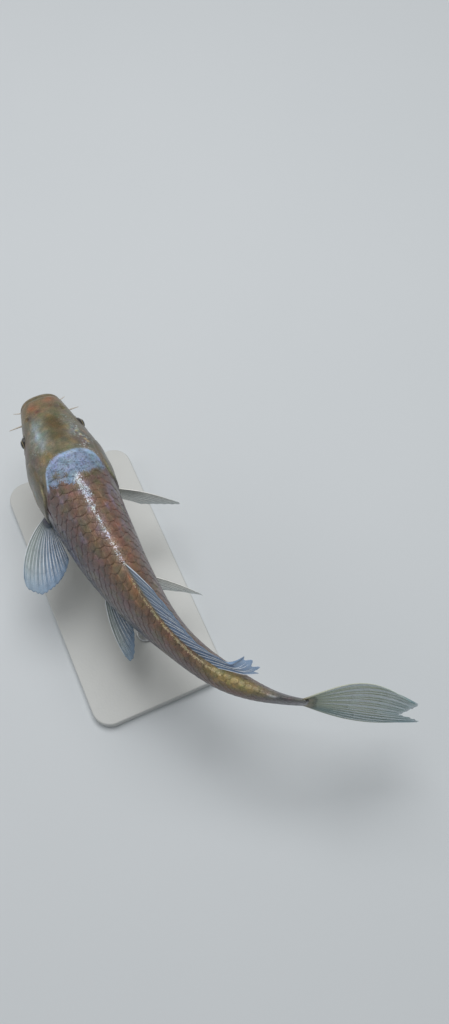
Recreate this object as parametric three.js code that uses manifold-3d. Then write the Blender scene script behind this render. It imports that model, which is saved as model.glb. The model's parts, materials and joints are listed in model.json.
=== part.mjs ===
// Koi carp, life size, swimming in a bend on a plain display stand.
// Millimetres, +Z up. The origin is the centre of the underside of the stand's base.
// The snout points along -X, the back is up, and the tail swings round to +Y, the fish's right.
import * as THREE from 'three';
import { mergeVertices } from 'three/addons/utils/BufferGeometryUtils.js';
import Module from 'manifold-3d';

const wasm = await Module();
wasm.setup();

// ---------------------------------------------------------------- driving dimensions

const STANDARD_LENGTH = 355;      // snout to the root of the tail fin, along the bent body
const AXIS_HEIGHT = 112;          // body axis above the table
const NOSE = { x: -140, y: -2.5 };
const GAP = 0.3;                  // between neighbouring solids

// The way the body axis points, in degrees from +X, turns smoothly from head to tail.
const BEND = { start: -1.7, sweep: 132.9, centre: 1.023, rate: 4.71 };
// The back leans a little to the fish's right in front and to its left behind.
const LEAN = { front: 1.6, rear: -10, from: 0.45, to: 0.85 };

// Body profiles: [part of the standard length, millimetres from the axis].
const BACK = [
  [0, -4], [0.006, 1.5], [0.02, 7.5], [0.05, 14], [0.09, 20.5], [0.13, 26.5], [0.191, 34.5],
  [0.247, 40.5], [0.312, 44.5], [0.393, 46], [0.494, 44.5], [0.596, 39], [0.697, 31], [0.798, 23.5],
  [0.879, 19.7], [0.939, 19.2], [1, 21],
];
const BELLY = [
  [0, -11.5], [0.006, -14], [0.02, -17], [0.05, -21.5], [0.09, -27], [0.13, -32], [0.191, -39],
  [0.262, -45], [0.333, -49], [0.414, -50.5], [0.494, -49.5], [0.596, -44], [0.697, -34.5], [0.778, -26],
  [0.858, -20.5], [0.929, -19.2], [1, -21],
];
const HALF_WIDTH = [
  [0, 6], [0.004, 9.8], [0.012, 13], [0.03, 16.8], [0.06, 19.6], [0.09, 22.2], [0.13, 25.3],
  [0.18, 30], [0.22, 32.5], [0.25, 32.6], [0.29, 31.3], [0.35, 28.5], [0.43, 25.6], [0.5, 22.1],
  [0.565, 19], [0.635, 15.1], [0.7, 12.4], [0.76, 11.2], [0.82, 10.3], [0.89, 7.2], [0.95, 3.9],
  [1, 2.2],
];
// Roundness of a section above and below its widest level: 2 is an ellipse, more is squarer.
const ROUND_ABOVE = [[0, 2.3], [0.06, 2.6], [0.2, 2.35], [0.4, 2.1], [1, 2.0]];
const ROUND_BELOW = [[0, 2.2], [0.1, 2.3], [0.3, 2.3], [0.6, 2.15], [1, 2.0]];

const SIDES = 30;                 // facets round the body
const HEAD_END = 0.247;
const TRUNK_MIDDLE = 0.5;
const STALK_START = 0.75;

const EYE = { s: 0.131, up: 8.5, across: 21.6, radius: 6.4, depth: 5.2 };
const GILL = { s: 0.25, up: 1, front: 22, rear: 21.5, tall: 26, square: 2.9, proud: 0.9, thick: 2.6 };
const FIN_THICK = { root: 1.6, edge: 0.6 };
const TAIL_THICK = { root: 2.2, edge: 0.6 };
const BASE = { length: 240, width: 116, thick: 10, corner: 16, bevel: 1.2 };
const ROD = { radius: 3, foot: 8, footThick: 3, edge: 0.8, front: 0.31, rear: 0.56 };

// ---------------------------------------------------------------- curves and frames

const SIDES_OF_BODY = [[1, 'left'], [-1, 'right']];
const radians = THREE.MathUtils.degToRad;
const blend = THREE.MathUtils.lerp;
const smooth = THREE.MathUtils.smoothstep;

// A smooth curve through [place, value] pairs that never overshoots between two of them.
function curveThrough(pairs) {
  const last = pairs.length - 1;
  const run = (i) => pairs[i + 1][0] - pairs[i][0];
  const slope = (i) => (pairs[i + 1][1] - pairs[i][1]) / run(i);
  const tangents = pairs.map((_, i) => {
    if (i === 0) return slope(0);
    if (i === last) return slope(last - 1);
    if (slope(i - 1) * slope(i) <= 0) return 0;
    const before = 2 * run(i) + run(i - 1);
    const after = run(i) + 2 * run(i - 1);
    return (before + after) / (before / slope(i - 1) + after / slope(i));
  });
  return (place) => {
    let i = 0;
    while (i < last - 1 && place > pairs[i + 1][0]) i += 1;
    const h = run(i);
    const t = THREE.MathUtils.clamp((place - pairs[i][0]) / h, 0, 1);
    const rise = t * t * (3 - 2 * t);
    const value = blend(pairs[i][1], pairs[i + 1][1], rise);
    return value + h * (t * (1 - t) ** 2 * tangents[i] - t * t * (1 - t) * tangents[i + 1]);
  };
}

const back = curveThrough(BACK);
const belly = curveThrough(BELLY);
const halfWidth = curveThrough(HALF_WIDTH);
const roundAbove = curveThrough(ROUND_ABOVE);
const roundBelow = curveThrough(ROUND_BELOW);

function headingAt(s) {
  return radians(BEND.start + BEND.sweep / (1 + Math.exp(-BEND.rate * (s - BEND.centre))));
}

function leanAt(s) {
  return radians(blend(LEAN.front, LEAN.rear, smooth(s, LEAN.from, LEAN.to)));
}

// The body axis, summed in short steps from the snout to just past the tail's root.
const AXIS_STEP = 0.001;
const AXIS_END = 1.05;
const axis = [{ ...NOSE }];
for (let s = AXIS_STEP / 2; s < AXIS_END; s += AXIS_STEP) {
  const heading = headingAt(s);
  const stride = STANDARD_LENGTH * AXIS_STEP;
  const before = axis.at(-1);
  axis.push({ x: before.x + stride * Math.cos(heading), y: before.y + stride * Math.sin(heading) });
}

// Origin and unit directions of the body at s: aft, to the fish's left, and up.
function frameAt(s, lean = leanAt(s)) {
  const place = s / AXIS_STEP;
  const i = Math.floor(place);
  const heading = headingAt(s);
  const aft = new THREE.Vector3(Math.cos(heading), Math.sin(heading), 0);
  const level = new THREE.Vector3(Math.sin(heading), -Math.cos(heading), 0);
  const up = new THREE.Vector3(0, 0, Math.cos(lean)).addScaledVector(level, -Math.sin(lean));
  const left = level.clone().multiplyScalar(Math.cos(lean));
  left.z += Math.sin(lean);
  const origin = new THREE.Vector3(
    blend(axis[i].x, axis[i + 1].x, place - i),
    blend(axis[i].y, axis[i + 1].y, place - i),
    AXIS_HEIGHT,
  );
  return { origin, aft, left, up };
}

function place(s, across, up) {
  const frame = frameAt(s);
  return frame.origin.clone().addScaledVector(frame.left, across).addScaledVector(frame.up, up);
}

// A section is a rounded oval, widest halfway up, with its own roundness above and below.
function sectionPoint(s, angle, grow = 0) {
  const top = back(s) + grow;
  const bottom = belly(s) - grow;
  const middle = (top + bottom) / 2;
  const round = Math.sin(angle) > 0 ? roundAbove(s) : roundBelow(s);
  const bulge = (value) => Math.sign(value) * Math.abs(value) ** (2 / round);
  const across = (halfWidth(s) + grow) * bulge(Math.cos(angle));
  return place(s, across, middle + (top - middle) * bulge(Math.sin(angle)));
}

// How far the flank stands out from the axis at a height over it.
function flankAt(s, up) {
  const top = back(s);
  const bottom = belly(s);
  const middle = (top + bottom) / 2;
  const round = up > middle ? roundAbove(s) : roundBelow(s);
  const part = Math.min(Math.abs(up - middle) / (top - middle), 0.98);
  return halfWidth(s) * (1 - part ** round) ** (1 / round);
}

// ---------------------------------------------------------------- closed surfaces

function geometryFrom(points, faces) {
  const geometry = new THREE.BufferGeometry();
  const positions = points.flatMap((point) => [point.x, point.y, point.z]);
  geometry.setAttribute('position', new THREE.Float32BufferAttribute(positions, 3));
  geometry.setIndex(faces.flat());
  return geometry;
}

function centreOf(points) {
  const sum = points.reduce((total, point) => total.add(point), new THREE.Vector3());
  return sum.divideScalar(points.length);
}

// A skin over rings of points, closed at both ends. The rings run clockwise seen from the first.
function skinOver(rings) {
  const around = rings[0].length;
  const points = rings.flat();
  const faces = [];
  for (let i = 0; i < rings.length - 1; i += 1) {
    for (let j = 0; j < around; j += 1) {
      const a = i * around + j;
      const b = i * around + ((j + 1) % around);
      faces.push([a, b, b + around], [a, b + around, a + around]);
    }
  }
  const first = points.push(centreOf(rings[0])) - 1;
  const lastRing = (rings.length - 1) * around;
  const last = points.push(centreOf(rings.at(-1))) - 1;
  for (let j = 0; j < around; j += 1) {
    const next = (j + 1) % around;
    faces.push([first, next, j], [last, lastRing + j, lastRing + next]);
  }
  return geometryFrom(points, faces);
}

// A thin plate over a grid of points: grid[ray][step], thick(step part) through the plate.
function plateOver(grid, thick) {
  const rays = grid.length;
  const steps = grid[0].length;
  const normalAt = (i, j) => {
    const along = grid[i][Math.min(j + 1, steps - 1)].clone().sub(grid[i][Math.max(j - 1, 0)]);
    const over = grid[Math.min(i + 1, rays - 1)][j].clone().sub(grid[Math.max(i - 1, 0)][j]);
    return along.cross(over).normalize();
  };
  const points = [1, -1].flatMap((side) => grid.flatMap((ray, i) => ray.map((point, j) => (
    point.clone().addScaledVector(normalAt(i, j), side * thick(j / (steps - 1)) / 2)
  ))));
  const faces = [];
  const other = rays * steps;
  const quad = (a, b, c, d) => faces.push([a, b, c], [a, c, d]);
  for (let i = 0; i < rays - 1; i += 1) {
    for (let j = 0; j < steps - 1; j += 1) {
      const a = i * steps + j;
      quad(a, a + 1, a + 1 + steps, a + steps);
      quad(other + a, other + a + steps, other + a + 1 + steps, other + a + 1);
    }
    const root = i * steps;
    const tip = root + steps - 1;
    quad(root, root + steps, other + root + steps, other + root);
    quad(tip, other + tip, other + tip + steps, tip + steps);
  }
  for (let j = 0; j < steps - 1; j += 1) {
    const far = (rays - 1) * steps + j;
    quad(j, other + j, other + j + 1, j + 1);
    quad(far, far + 1, other + far + 1, other + far);
  }
  return geometryFrom(points, faces);
}

function solidOf(geometry) {
  const plain = geometry.clone();
  plain.deleteAttribute('normal');
  plain.deleteAttribute('uv');
  const merged = mergeVertices(plain, 1e-4);
  return new wasm.Manifold(new wasm.Mesh({
    numProp: 3,
    vertProperties: new Float32Array(merged.attributes.position.array),
    triVerts: new Uint32Array(merged.index.array),
  }));
}

function geometryOf(solid) {
  const { vertProperties, triVerts } = solid.getMesh();
  const geometry = new THREE.BufferGeometry();
  geometry.setAttribute('position', new THREE.BufferAttribute(vertProperties, 3));
  geometry.setIndex(new THREE.BufferAttribute(triVerts, 1));
  geometry.computeVertexNormals();
  return geometry;
}

// ---------------------------------------------------------------- body

// Sections stand close together on the blunt snout and evenly behind the head.
const HEAD_SECTIONS = 17;
const TRUNK_SECTIONS = 29;
const STATIONS = [
  ...Array.from({ length: HEAD_SECTIONS }, (_, i) => HEAD_END * (i / HEAD_SECTIONS) ** 1.7),
  ...Array.from({ length: TRUNK_SECTIONS }, (_, i) => blend(0.28, 0.98, i / (TRUNK_SECTIONS - 1))),
];

// One length of the body, closed across at both ends.
function bodyLength(from, to, grow = 0) {
  const room = 0.004;
  const between = STATIONS.filter((s) => s > from + room && s < to - room);
  const ringAt = (s) => Array.from({ length: SIDES }, (_, j) => (
    sectionPoint(s, (-j / SIDES) * 2 * Math.PI, grow)
  ));
  return skinOver([from, ...between, to].map(ringAt));
}

// One gill cover: a curved plate on the cheek, with full corners.
function gillCover(side, proud, inner, widen) {
  const rings = 4;
  const around = 18;
  const squared = (value) => Math.sign(value) * Math.abs(value) ** (2 / GILL.square);
  const layer = (depth) => {
    const points = [];
    for (let r = 1; r <= rings; r += 1) {
      for (let k = 0; k < around; k += 1) {
        const angle = (k / around) * 2 * Math.PI;
        const reach = Math.cos(angle) > 0 ? GILL.rear : GILL.front;
        const aft = (reach + widen) * squared(Math.cos(angle)) * (r / rings);
        const rise = (GILL.tall + widen) * squared(Math.sin(angle)) * (r / rings);
        const s = GILL.s + aft / STANDARD_LENGTH;
        const up = GILL.up + rise;
        points.push(place(s, side * (flankAt(s, up) + depth(r / rings)), up));
      }
    }
    const centre = place(GILL.s, side * (flankAt(GILL.s, GILL.up) + depth(0)), GILL.up);
    return [centre, ...points];
  };
  const outside = layer((r) => proud * (1 - 0.3 * r * r));
  const inside = layer(() => -inner);
  const count = outside.length;
  const faces = [];
  const at = (r, k) => 1 + (r - 1) * around + (k % around);
  for (let k = 0; k < around; k += 1) {
    faces.push([0, at(1, k), at(1, k + 1)], [count, count + at(1, k + 1), count + at(1, k)]);
    for (let r = 1; r < rings; r += 1) {
      const [a, b, c, d] = [at(r, k), at(r + 1, k), at(r + 1, k + 1), at(r, k + 1)];
      faces.push([a, b, c], [a, c, d]);
      faces.push([count + a, count + c, count + b], [count + a, count + d, count + c]);
    }
    const [e, f] = [at(rings, k), at(rings, k + 1)];
    faces.push([e, count + e, count + f], [e, count + f, f]);
  }
  const turned = side > 0 ? faces : faces.map(([a, b, c]) => [a, c, b]);
  return geometryFrom([...outside, ...inside], turned);
}

function eyeball(side, grow = 0) {
  const frame = frameAt(EYE.s);
  const ball = new THREE.SphereGeometry(1, 14, 9);
  const matrix = new THREE.Matrix4().makeBasis(
    frame.aft.clone().multiplyScalar(EYE.radius + grow),
    frame.up.clone().multiplyScalar(EYE.radius + grow),
    new THREE.Vector3().crossVectors(frame.aft, frame.up).multiplyScalar(EYE.depth + grow),
  );
  matrix.setPosition(place(EYE.s, side * EYE.across, EYE.up));
  return ball.applyMatrix4(matrix);
}

// ---------------------------------------------------------------- feelers and fins

// A feeler tapers along a curve from the lip.
const BARBEL_TAPER = 0.6;
function barbel({ s, side, across, up, reach, sweep, droop, radius }) {
  const frame = frameAt(s);
  const steps = 7;
  const sides = 8;
  const root = place(s, side * across, up);
  const centres = [];
  for (let i = 0; i <= steps; i += 1) {
    const t = i / steps;
    centres.push(root.clone()
      .addScaledVector(frame.left, side * reach * t)
      .addScaledVector(frame.aft, sweep * t * t)
      .addScaledVector(frame.up, -droop * t * t));
  }
  const curve = new THREE.CatmullRomCurve3(centres);
  const rings = centres.map((centre, i) => {
    const along = curve.getTangent(i / steps);
    const first = new THREE.Vector3().crossVectors(along, frame.aft).normalize();
    const second = new THREE.Vector3().crossVectors(along, first);
    const wide = radius * (1 - BARBEL_TAPER * (i / steps));
    return Array.from({ length: sides }, (_, j) => {
      const angle = (-j / sides) * 2 * Math.PI;
      return centre.clone()
        .addScaledVector(first, wide * Math.cos(angle))
        .addScaledVector(second, -wide * Math.sin(angle));
    });
  });
  return skinOver(rings);
}

// A fin is a fan of rays. Ray t, from 0 in front to 1 behind, starts at root(t) in the body's frame
// and turns as it goes: out is its angle from straight aft, rise its angle above level.
function fan({ rays, steps, root, length, out, rise, side = 1, lean, thick = FIN_THICK }) {
  const grid = [];
  for (let i = 0; i < rays; i += 1) {
    const t = i / (rays - 1);
    const [s, across, up] = root(t);
    const frame = frameAt(s, lean ? radians(lean(t)) : leanAt(s));
    const point = place(s, side * across, up);
    const ray = [point.clone()];
    const stride = length(t) / steps;
    for (let j = 0; j < steps; j += 1) {
      const r = (j + 0.5) / steps;
      const turn = radians(out(t, r));
      const climb = radians(rise(t, r));
      point.addScaledVector(frame.aft, stride * Math.cos(climb) * Math.cos(turn));
      point.addScaledVector(frame.left, stride * Math.cos(climb) * Math.sin(turn) * side);
      point.addScaledVector(frame.up, stride * Math.sin(climb));
      ray.push(point.clone());
    }
    grid.push(ray);
  }
  return plateOver(grid, (r) => blend(thick.root, thick.edge, r));
}

// The fin lies down to the fish's right, and the tips of its last rays spread and lift again.
const dorsalLength = curveThrough([
  [0, 42], [0.15, 44], [0.4, 36], [0.6, 29], [0.72, 31], [0.8, 36], [0.86, 42], [0.93, 43], [1, 36],
]);
const dorsalLean = curveThrough([[0, 11], [0.6, 20], [0.85, 60], [1, 70]]);
const dorsalSpread = curveThrough([[0, 0], [0.78, 0], [0.86, 60], [0.93, 42], [1, 22]]);
const dorsalRoot = (t) => blend(0.527, 0.798, t);
const dorsalFin = {
  rays: 20,
  steps: 6,
  root: (t) => [dorsalRoot(t), 0, back(dorsalRoot(t)) - 2],
  length: dorsalLength,
  out: () => 0,
  rise: (t, r) => blend(32, 22, smooth(t, 0.55, 0.85)) - 8 * r + dorsalSpread(t) * smooth(r, 0.55, 0.85),
  lean: dorsalLean,
};

const analRoot = (t) => blend(0.752, 0.813, t);
const analFin = {
  rays: 9,
  steps: 4,
  root: (t) => [analRoot(t), 0, belly(analRoot(t)) + 2],
  length: (t) => blend(36, 20, t ** 0.8),
  out: () => 0,
  rise: (t, r) => blend(-46, -30, t) + 10 * r,
};

const pectoralLength = curveThrough([[0, 58], [0.12, 64], [0.3, 66], [0.5, 62], [0.75, 54], [1, 36]]);
const pectoralRoot = (t) => [blend(0.266, 0.282, t), 28.5, blend(-27, -33, t)];
const pectoralLeft = {
  rays: 16,
  steps: 6,
  root: pectoralRoot,
  length: pectoralLength,
  out: (t, r) => blend(blend(67, -8, t), blend(17, 2, t), r),
  rise: (t) => blend(-6, -10, t),
};
const pectoralRight = {
  rays: 16,
  steps: 6,
  side: -1,
  root: pectoralRoot,
  length: (t) => pectoralLength(t) * 0.89,
  out: (t, r) => blend(blend(62, 78, t), blend(44, 68, t), r),
  rise: (t, r) => blend(0, -44, t) - 3 * r * (1 - t),
};

const pelvicLength = curveThrough([[0, 61], [0.3, 56], [0.7, 43], [1, 31]]);
const pelvicRoot = (t) => [blend(0.478, 0.494, t), blend(14.5, 11, t), blend(-38, -41, t)];
const pelvicLeft = {
  rays: 9,
  steps: 5,
  root: pelvicRoot,
  length: pelvicLength,
  out: (t, r) => blend(blend(28, -6, t), blend(-3, -4, t), r),
  rise: (t) => blend(-10, -16, t),
};
const pelvicRight = {
  rays: 9,
  steps: 5,
  side: -1,
  root: pelvicRoot,
  length: (t) => pelvicLength(t) * 0.97,
  out: (t, r) => blend(blend(54, 64, t), blend(36, 60, t), r),
  rise: (t) => blend(-15, -54, t),
};

// Half of the forked tail fin: the rays near its edge are the longest, the middle one the shortest.
// swing(t) is the turn of each ray at its root and bend(t) how far it turns back toward its tip.
const TAIL_RAYS = 11;
const TAIL_NOTCH = 73;
function tailLobe({ updown, lengths, spread, swing, bend }) {
  return {
    rays: TAIL_RAYS,
    steps: 6,
    root: (t) => [0.99, 0, updown * blend(17, 0.35, t)],
    length: curveThrough([...lengths, [1, TAIL_NOTCH]]),
    out: (t, r) => swing * (1 - t) + blend(...bend, t) * smooth(r, 0.35, 1),
    rise: (t, r) => updown * blend(blend(spread, 1, t), t, r),
    lean: () => 5,
    thick: TAIL_THICK,
  };
}
const upperLobe = {
  updown: 1, lengths: [[0, 85], [0.25, 88], [0.6, 80]], spread: 52, swing: -12, bend: [44, 3],
};
const lowerLobe = {
  updown: -1, lengths: [[0, 95], [0.25, 99], [0.6, 88]], spread: 44, swing: -1, bend: [-10, 3],
};

// ---------------------------------------------------------------- stand

function standBase() {
  const [x, y, r] = [BASE.length / 2 - BASE.bevel, BASE.width / 2 - BASE.bevel, BASE.corner];
  const outline = new THREE.Shape();
  outline.moveTo(-x + r, -y);
  outline.lineTo(x - r, -y);
  outline.absarc(x - r, -y + r, r, -Math.PI / 2, 0);
  outline.lineTo(x, y - r);
  outline.absarc(x - r, y - r, r, 0, Math.PI / 2);
  outline.lineTo(-x + r, y);
  outline.absarc(-x + r, y - r, r, Math.PI / 2, Math.PI);
  outline.lineTo(-x, -y + r);
  outline.absarc(-x + r, -y + r, r, Math.PI, 1.5 * Math.PI);
  const plate = new THREE.ExtrudeGeometry(outline, {
    depth: BASE.thick - 2 * BASE.bevel,
    bevelThickness: BASE.bevel,
    bevelSize: BASE.bevel,
    bevelSegments: 1,
    curveSegments: 5,
  });
  return plate.translate(0, 0, BASE.bevel);
}

// A rod with a round foot, tall enough to be trimmed by the belly over it.
const ROD_SPARE = 8;
function standRod(s) {
  const low = BASE.thick + GAP;
  const footTop = low + ROD.footThick;
  const high = AXIS_HEIGHT + belly(s) + ROD_SPARE;
  const profile = [
    [0, low], [ROD.foot - ROD.edge, low], [ROD.foot, low + ROD.edge], [ROD.foot, footTop - ROD.edge],
    [ROD.foot - ROD.edge, footTop], [ROD.radius, footTop], [ROD.radius, high], [0, high],
  ].map(([r, z]) => new THREE.Vector2(r, z));
  const { origin } = frameAt(s);
  const shape = new THREE.LatheGeometry(profile, 16);
  return shape.rotateX(Math.PI / 2).translate(origin.x, origin.y, 0);
}

// ---------------------------------------------------------------- assembly

const finish = (name, color, roughness, metalness = 0) => (
  new THREE.MeshStandardMaterial({ name, color, roughness, metalness })
);
const headSkin = finish('olive head skin', 0x8c8467, 0.45);
const gillSkin = finish('silver gill cover', 0x8f8f86, 0.4);
const bodySkin = finish('bronze scaled skin', 0x8a756a, 0.42);
const stalkSkin = finish('gold scaled skin', 0x9a8458, 0.42);
const finSkin = finish('clear fin', 0x8fb0c8, 0.4);
const tailSkin = finish('tan fin', 0x9c9468, 0.4);
const eyeGloss = finish('wet eye', 0x14120f, 0.08);
const lipSkin = finish('pale feeler', 0xb59a80, 0.5);
const basePaint = finish('satin grey paint', 0xc9c9c4, 0.5);
const rodSteel = finish('brushed steel', 0xb8b9bb, 0.32, 1);

const group = new THREE.Group();
function add(name, geometry, material) {
  const mesh = new THREE.Mesh(geometry, material);
  mesh.name = name;
  group.add(mesh);
}

// The whole body a gap larger, which trims whatever grows from it or holds it.
const wholeBody = [
  bodyLength(0, 1 + GAP / STANDARD_LENGTH, GAP),
  ...SIDES_OF_BODY.map(([side]) => gillCover(side, GILL.proud + GAP, GILL.thick, GAP)),
].map(solidOf).reduce((whole, length) => whole.add(length));

// The bed of each gill cover, open to well outside the cheek.
const BED_PROUD = 6;
const bedOf = (side) => solidOf(gillCover(side, BED_PROUD, GILL.thick + GAP, GAP));
const beds = bedOf(1).add(bedOf(-1));

// Neighbouring lengths of the body end half a gap short of the plane between them.
const trim = GAP / 2 / STANDARD_LENGTH;

// Head, with a socket for each eye and a bed for each gill cover.
const sockets = solidOf(eyeball(1, GAP)).add(solidOf(eyeball(-1, GAP)));
const head = solidOf(bodyLength(0, HEAD_END - trim));
add('head', geometryOf(head.subtract(beds).subtract(sockets)), headSkin);
for (const [side, word] of SIDES_OF_BODY) {
  add(`gill_cover_${word}`, gillCover(side, GILL.proud, GILL.thick, 0), gillSkin);
  add(`eye_${word}`, eyeball(side), eyeGloss);
}

// Trunk in two lengths, and the tail stalk.
const front = solidOf(bodyLength(HEAD_END + trim, TRUNK_MIDDLE - trim));
add('trunk_front', geometryOf(front.subtract(beds)), bodySkin);
add('trunk_rear', bodyLength(TRUNK_MIDDLE + trim, STALK_START - trim), bodySkin);
add('tail_stalk', bodyLength(STALK_START + trim, 1), stalkSkin);

// Fins, feelers and rods stop a gap short of the skin.
const trimmed = (geometry) => geometryOf(solidOf(geometry).subtract(wholeBody));

// Two pairs of feelers: a short one on the upper lip and a longer one at the corner of the mouth.
for (const [side, word] of SIDES_OF_BODY) {
  const lip = { s: 0.022, side, across: 13, up: -9, reach: 10, sweep: -3, droop: 1, radius: 0.75 };
  const corner = { s: 0.046, side, across: 16, up: -14, reach: 15, sweep: -2, droop: 4, radius: 0.95 };
  add(`barbel_lip_${word}`, trimmed(barbel(lip)), lipSkin);
  add(`barbel_corner_${word}`, trimmed(barbel(corner)), lipSkin);
}

add('dorsal_fin', trimmed(fan(dorsalFin)), finSkin);
add('anal_fin', trimmed(fan(analFin)), finSkin);
add('pectoral_fin_left', trimmed(fan(pectoralLeft)), finSkin);
add('pectoral_fin_right', trimmed(fan(pectoralRight)), finSkin);
add('pelvic_fin_left', trimmed(fan(pelvicLeft)), finSkin);
add('pelvic_fin_right', trimmed(fan(pelvicRight)), finSkin);
add('tail_fin_upper', trimmed(fan(tailLobe(upperLobe))), tailSkin);
add('tail_fin_lower', trimmed(fan(tailLobe(lowerLobe))), tailSkin);

add('stand_base', standBase(), basePaint);
add('stand_rod_front', trimmed(standRod(ROD.front)), rodSteel);
add('stand_rod_rear', trimmed(standRod(ROD.rear)), rodSteel);

export default group;
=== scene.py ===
# %% [markdown]
# # A koi carp on a display stand
#
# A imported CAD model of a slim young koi, 445 mm long, gets its looks here. It is caught in the middle of
# a tail beat, and a plain steel stand holds it up. The CAD model fixes every size and place, and each
# step adds one piece of the animal's surface, worked out with numpy from two parameters.

import functools
import json

import bpy
import numpy as np
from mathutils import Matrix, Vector

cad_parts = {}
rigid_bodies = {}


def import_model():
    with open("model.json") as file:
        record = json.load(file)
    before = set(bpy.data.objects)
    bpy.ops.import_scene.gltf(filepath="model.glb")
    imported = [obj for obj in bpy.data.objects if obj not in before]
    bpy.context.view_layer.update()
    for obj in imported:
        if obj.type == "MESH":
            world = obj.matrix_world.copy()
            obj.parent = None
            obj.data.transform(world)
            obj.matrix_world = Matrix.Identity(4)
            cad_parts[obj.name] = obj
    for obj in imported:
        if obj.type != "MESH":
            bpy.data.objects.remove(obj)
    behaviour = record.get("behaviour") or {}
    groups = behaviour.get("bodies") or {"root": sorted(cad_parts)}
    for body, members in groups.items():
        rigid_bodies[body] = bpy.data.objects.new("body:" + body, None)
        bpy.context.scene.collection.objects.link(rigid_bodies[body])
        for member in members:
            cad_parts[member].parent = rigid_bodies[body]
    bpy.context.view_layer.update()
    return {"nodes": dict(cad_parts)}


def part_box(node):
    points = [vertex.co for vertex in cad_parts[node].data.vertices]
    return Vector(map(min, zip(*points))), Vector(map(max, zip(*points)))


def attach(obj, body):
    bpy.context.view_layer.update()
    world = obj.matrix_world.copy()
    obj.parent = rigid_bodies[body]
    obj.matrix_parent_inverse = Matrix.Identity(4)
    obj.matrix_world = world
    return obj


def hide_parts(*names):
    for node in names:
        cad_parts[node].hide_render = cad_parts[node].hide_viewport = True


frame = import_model()
base_low, base_high = (np.array(corner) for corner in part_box("stand_base"))
ORIGIN = np.array([*(base_low + base_high)[:2] / 2, base_low[2]]) * 1000
print("CAD nodes:", len(frame["nodes"]), "origin in mm:", ORIGIN.round(3))

# %% [markdown]
# ## The body's named sizes
#
# A fish's body can be sculpted, or built from the sizes that a taxidermist takes: how high the back
# stands, how low the belly hangs and how wide the body is at places along it. The second way is used,
# because the same sizes then carry the skin, the scales and the fins. Sizes are in millimetres, and
# places along the body are parts of the standard length, from the snout to the tail's root.

# %% Sizes of the body
LENGTH = 355.0
AXIS_HEIGHT = 112.0
NOSE = (-140.0, -2.5)
BEND = {"start": -1.7, "sweep": 132.9, "centre": 1.023, "rate": 4.71}
LEAN = {"front": 1.6, "rear": -10.0, "from": 0.45, "to": 0.85}
BACK = [
    (0, -4), (0.006, 1.5), (0.02, 7.5), (0.05, 14), (0.09, 20.5), (0.13, 26.5), (0.191, 34.5),
    (0.247, 40.5), (0.312, 44.5), (0.393, 46), (0.494, 44.5), (0.596, 39), (0.697, 31),
    (0.798, 23.5), (0.879, 19.7), (0.939, 19.2), (1, 21),
]
BELLY = [
    (0, -11.5), (0.006, -14), (0.02, -17), (0.05, -21.5), (0.09, -27), (0.13, -32), (0.191, -39),
    (0.262, -45), (0.333, -49), (0.414, -50.5), (0.494, -49.5), (0.596, -44), (0.697, -34.5),
    (0.778, -26), (0.858, -20.5), (0.929, -19.2), (1, -21),
]
HALF_WIDTH = [
    (0, 6), (0.004, 9.8), (0.012, 13), (0.03, 16.8), (0.06, 19.6), (0.09, 22.2), (0.13, 25.3),
    (0.18, 30), (0.22, 32.5), (0.25, 32.6), (0.29, 31.3), (0.35, 28.5), (0.43, 25.6), (0.5, 22.1),
    (0.565, 19), (0.635, 15.1), (0.7, 12.4), (0.76, 11.2), (0.82, 10.3), (0.89, 7.2), (0.95, 3.9), (1, 2.2),
]
ROUND_ABOVE = [(0, 2.3), (0.06, 2.6), (0.2, 2.35), (0.4, 2.1), (1, 2.0)]
ROUND_BELOW = [(0, 2.2), (0.1, 2.3), (0.3, 2.3), (0.6, 2.15), (1, 2.0)]
EYE = {"s": 0.131, "up": 8.5, "across": 21.6, "radius": 6.4, "depth": 5.2}
GILL = {"s": 0.25, "up": 1.0, "front": 22.0, "rear": 21.5, "tall": 26.0, "square": 2.9}
SIDE_WORDS = ((1, "left"), (-1, "right"))
print("body:", LENGTH, "mm, sizes of the back at", len(BACK), "places")

# %% Smooth curves through the sizes


def curve_through(pairs):
    """A cubic through (place, value) pairs that never overshoots: each tangent is the harmonic mean of
    the two neighbouring slopes, or level at a turning point."""
    x, y = np.array(pairs, float).T
    run = np.diff(x)
    slope = np.diff(y) / run
    before = 2 * run[1:] + run[:-1]
    after = run[1:] + 2 * run[:-1]
    same_way = slope[:-1] * slope[1:] > 0
    safe = [np.where(same_way, part, 1) for part in (slope[:-1], slope[1:])]
    inner = np.where(same_way, (before + after) / (before / safe[0] + after / safe[1]), 0)
    tangent = np.concatenate([slope[:1], inner, slope[-1:]])

    def value(place):
        """The height of the curve at a place."""
        i = np.clip(np.searchsorted(x, place, "right") - 1, 0, len(run) - 1)
        t = np.clip((place - x[i]) / run[i], 0, 1)
        bow = t * (1 - t) ** 2 * tangent[i] - t * t * (1 - t) * tangent[i + 1]
        return y[i] + (y[i + 1] - y[i]) * t * t * (3 - 2 * t) + run[i] * bow

    return value


def smooth(value, low, high):
    """0 below low, 1 above high, and an S-shaped rise between."""
    t = np.clip((value - low) / (high - low), 0, 1)
    return t * t * (3 - 2 * t)


def fall(value, low, high):
    """1 below low, 0 above high, and an S-shaped fall between."""
    return 1 - smooth(value, low, high)


def hump(value, centre, width):
    """A bell curve, 1 at centre and nearly 0 two widths away."""
    return np.exp(-(((value - centre) / width) ** 2))


def blend(a, b, t):
    """Straight from a to b as t goes from 0 to 1."""
    return a + (b - a) * t


def unit(vectors):
    """Each vector over its own length."""
    return vectors / np.linalg.norm(vectors, axis=-1, keepdims=True)


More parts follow.
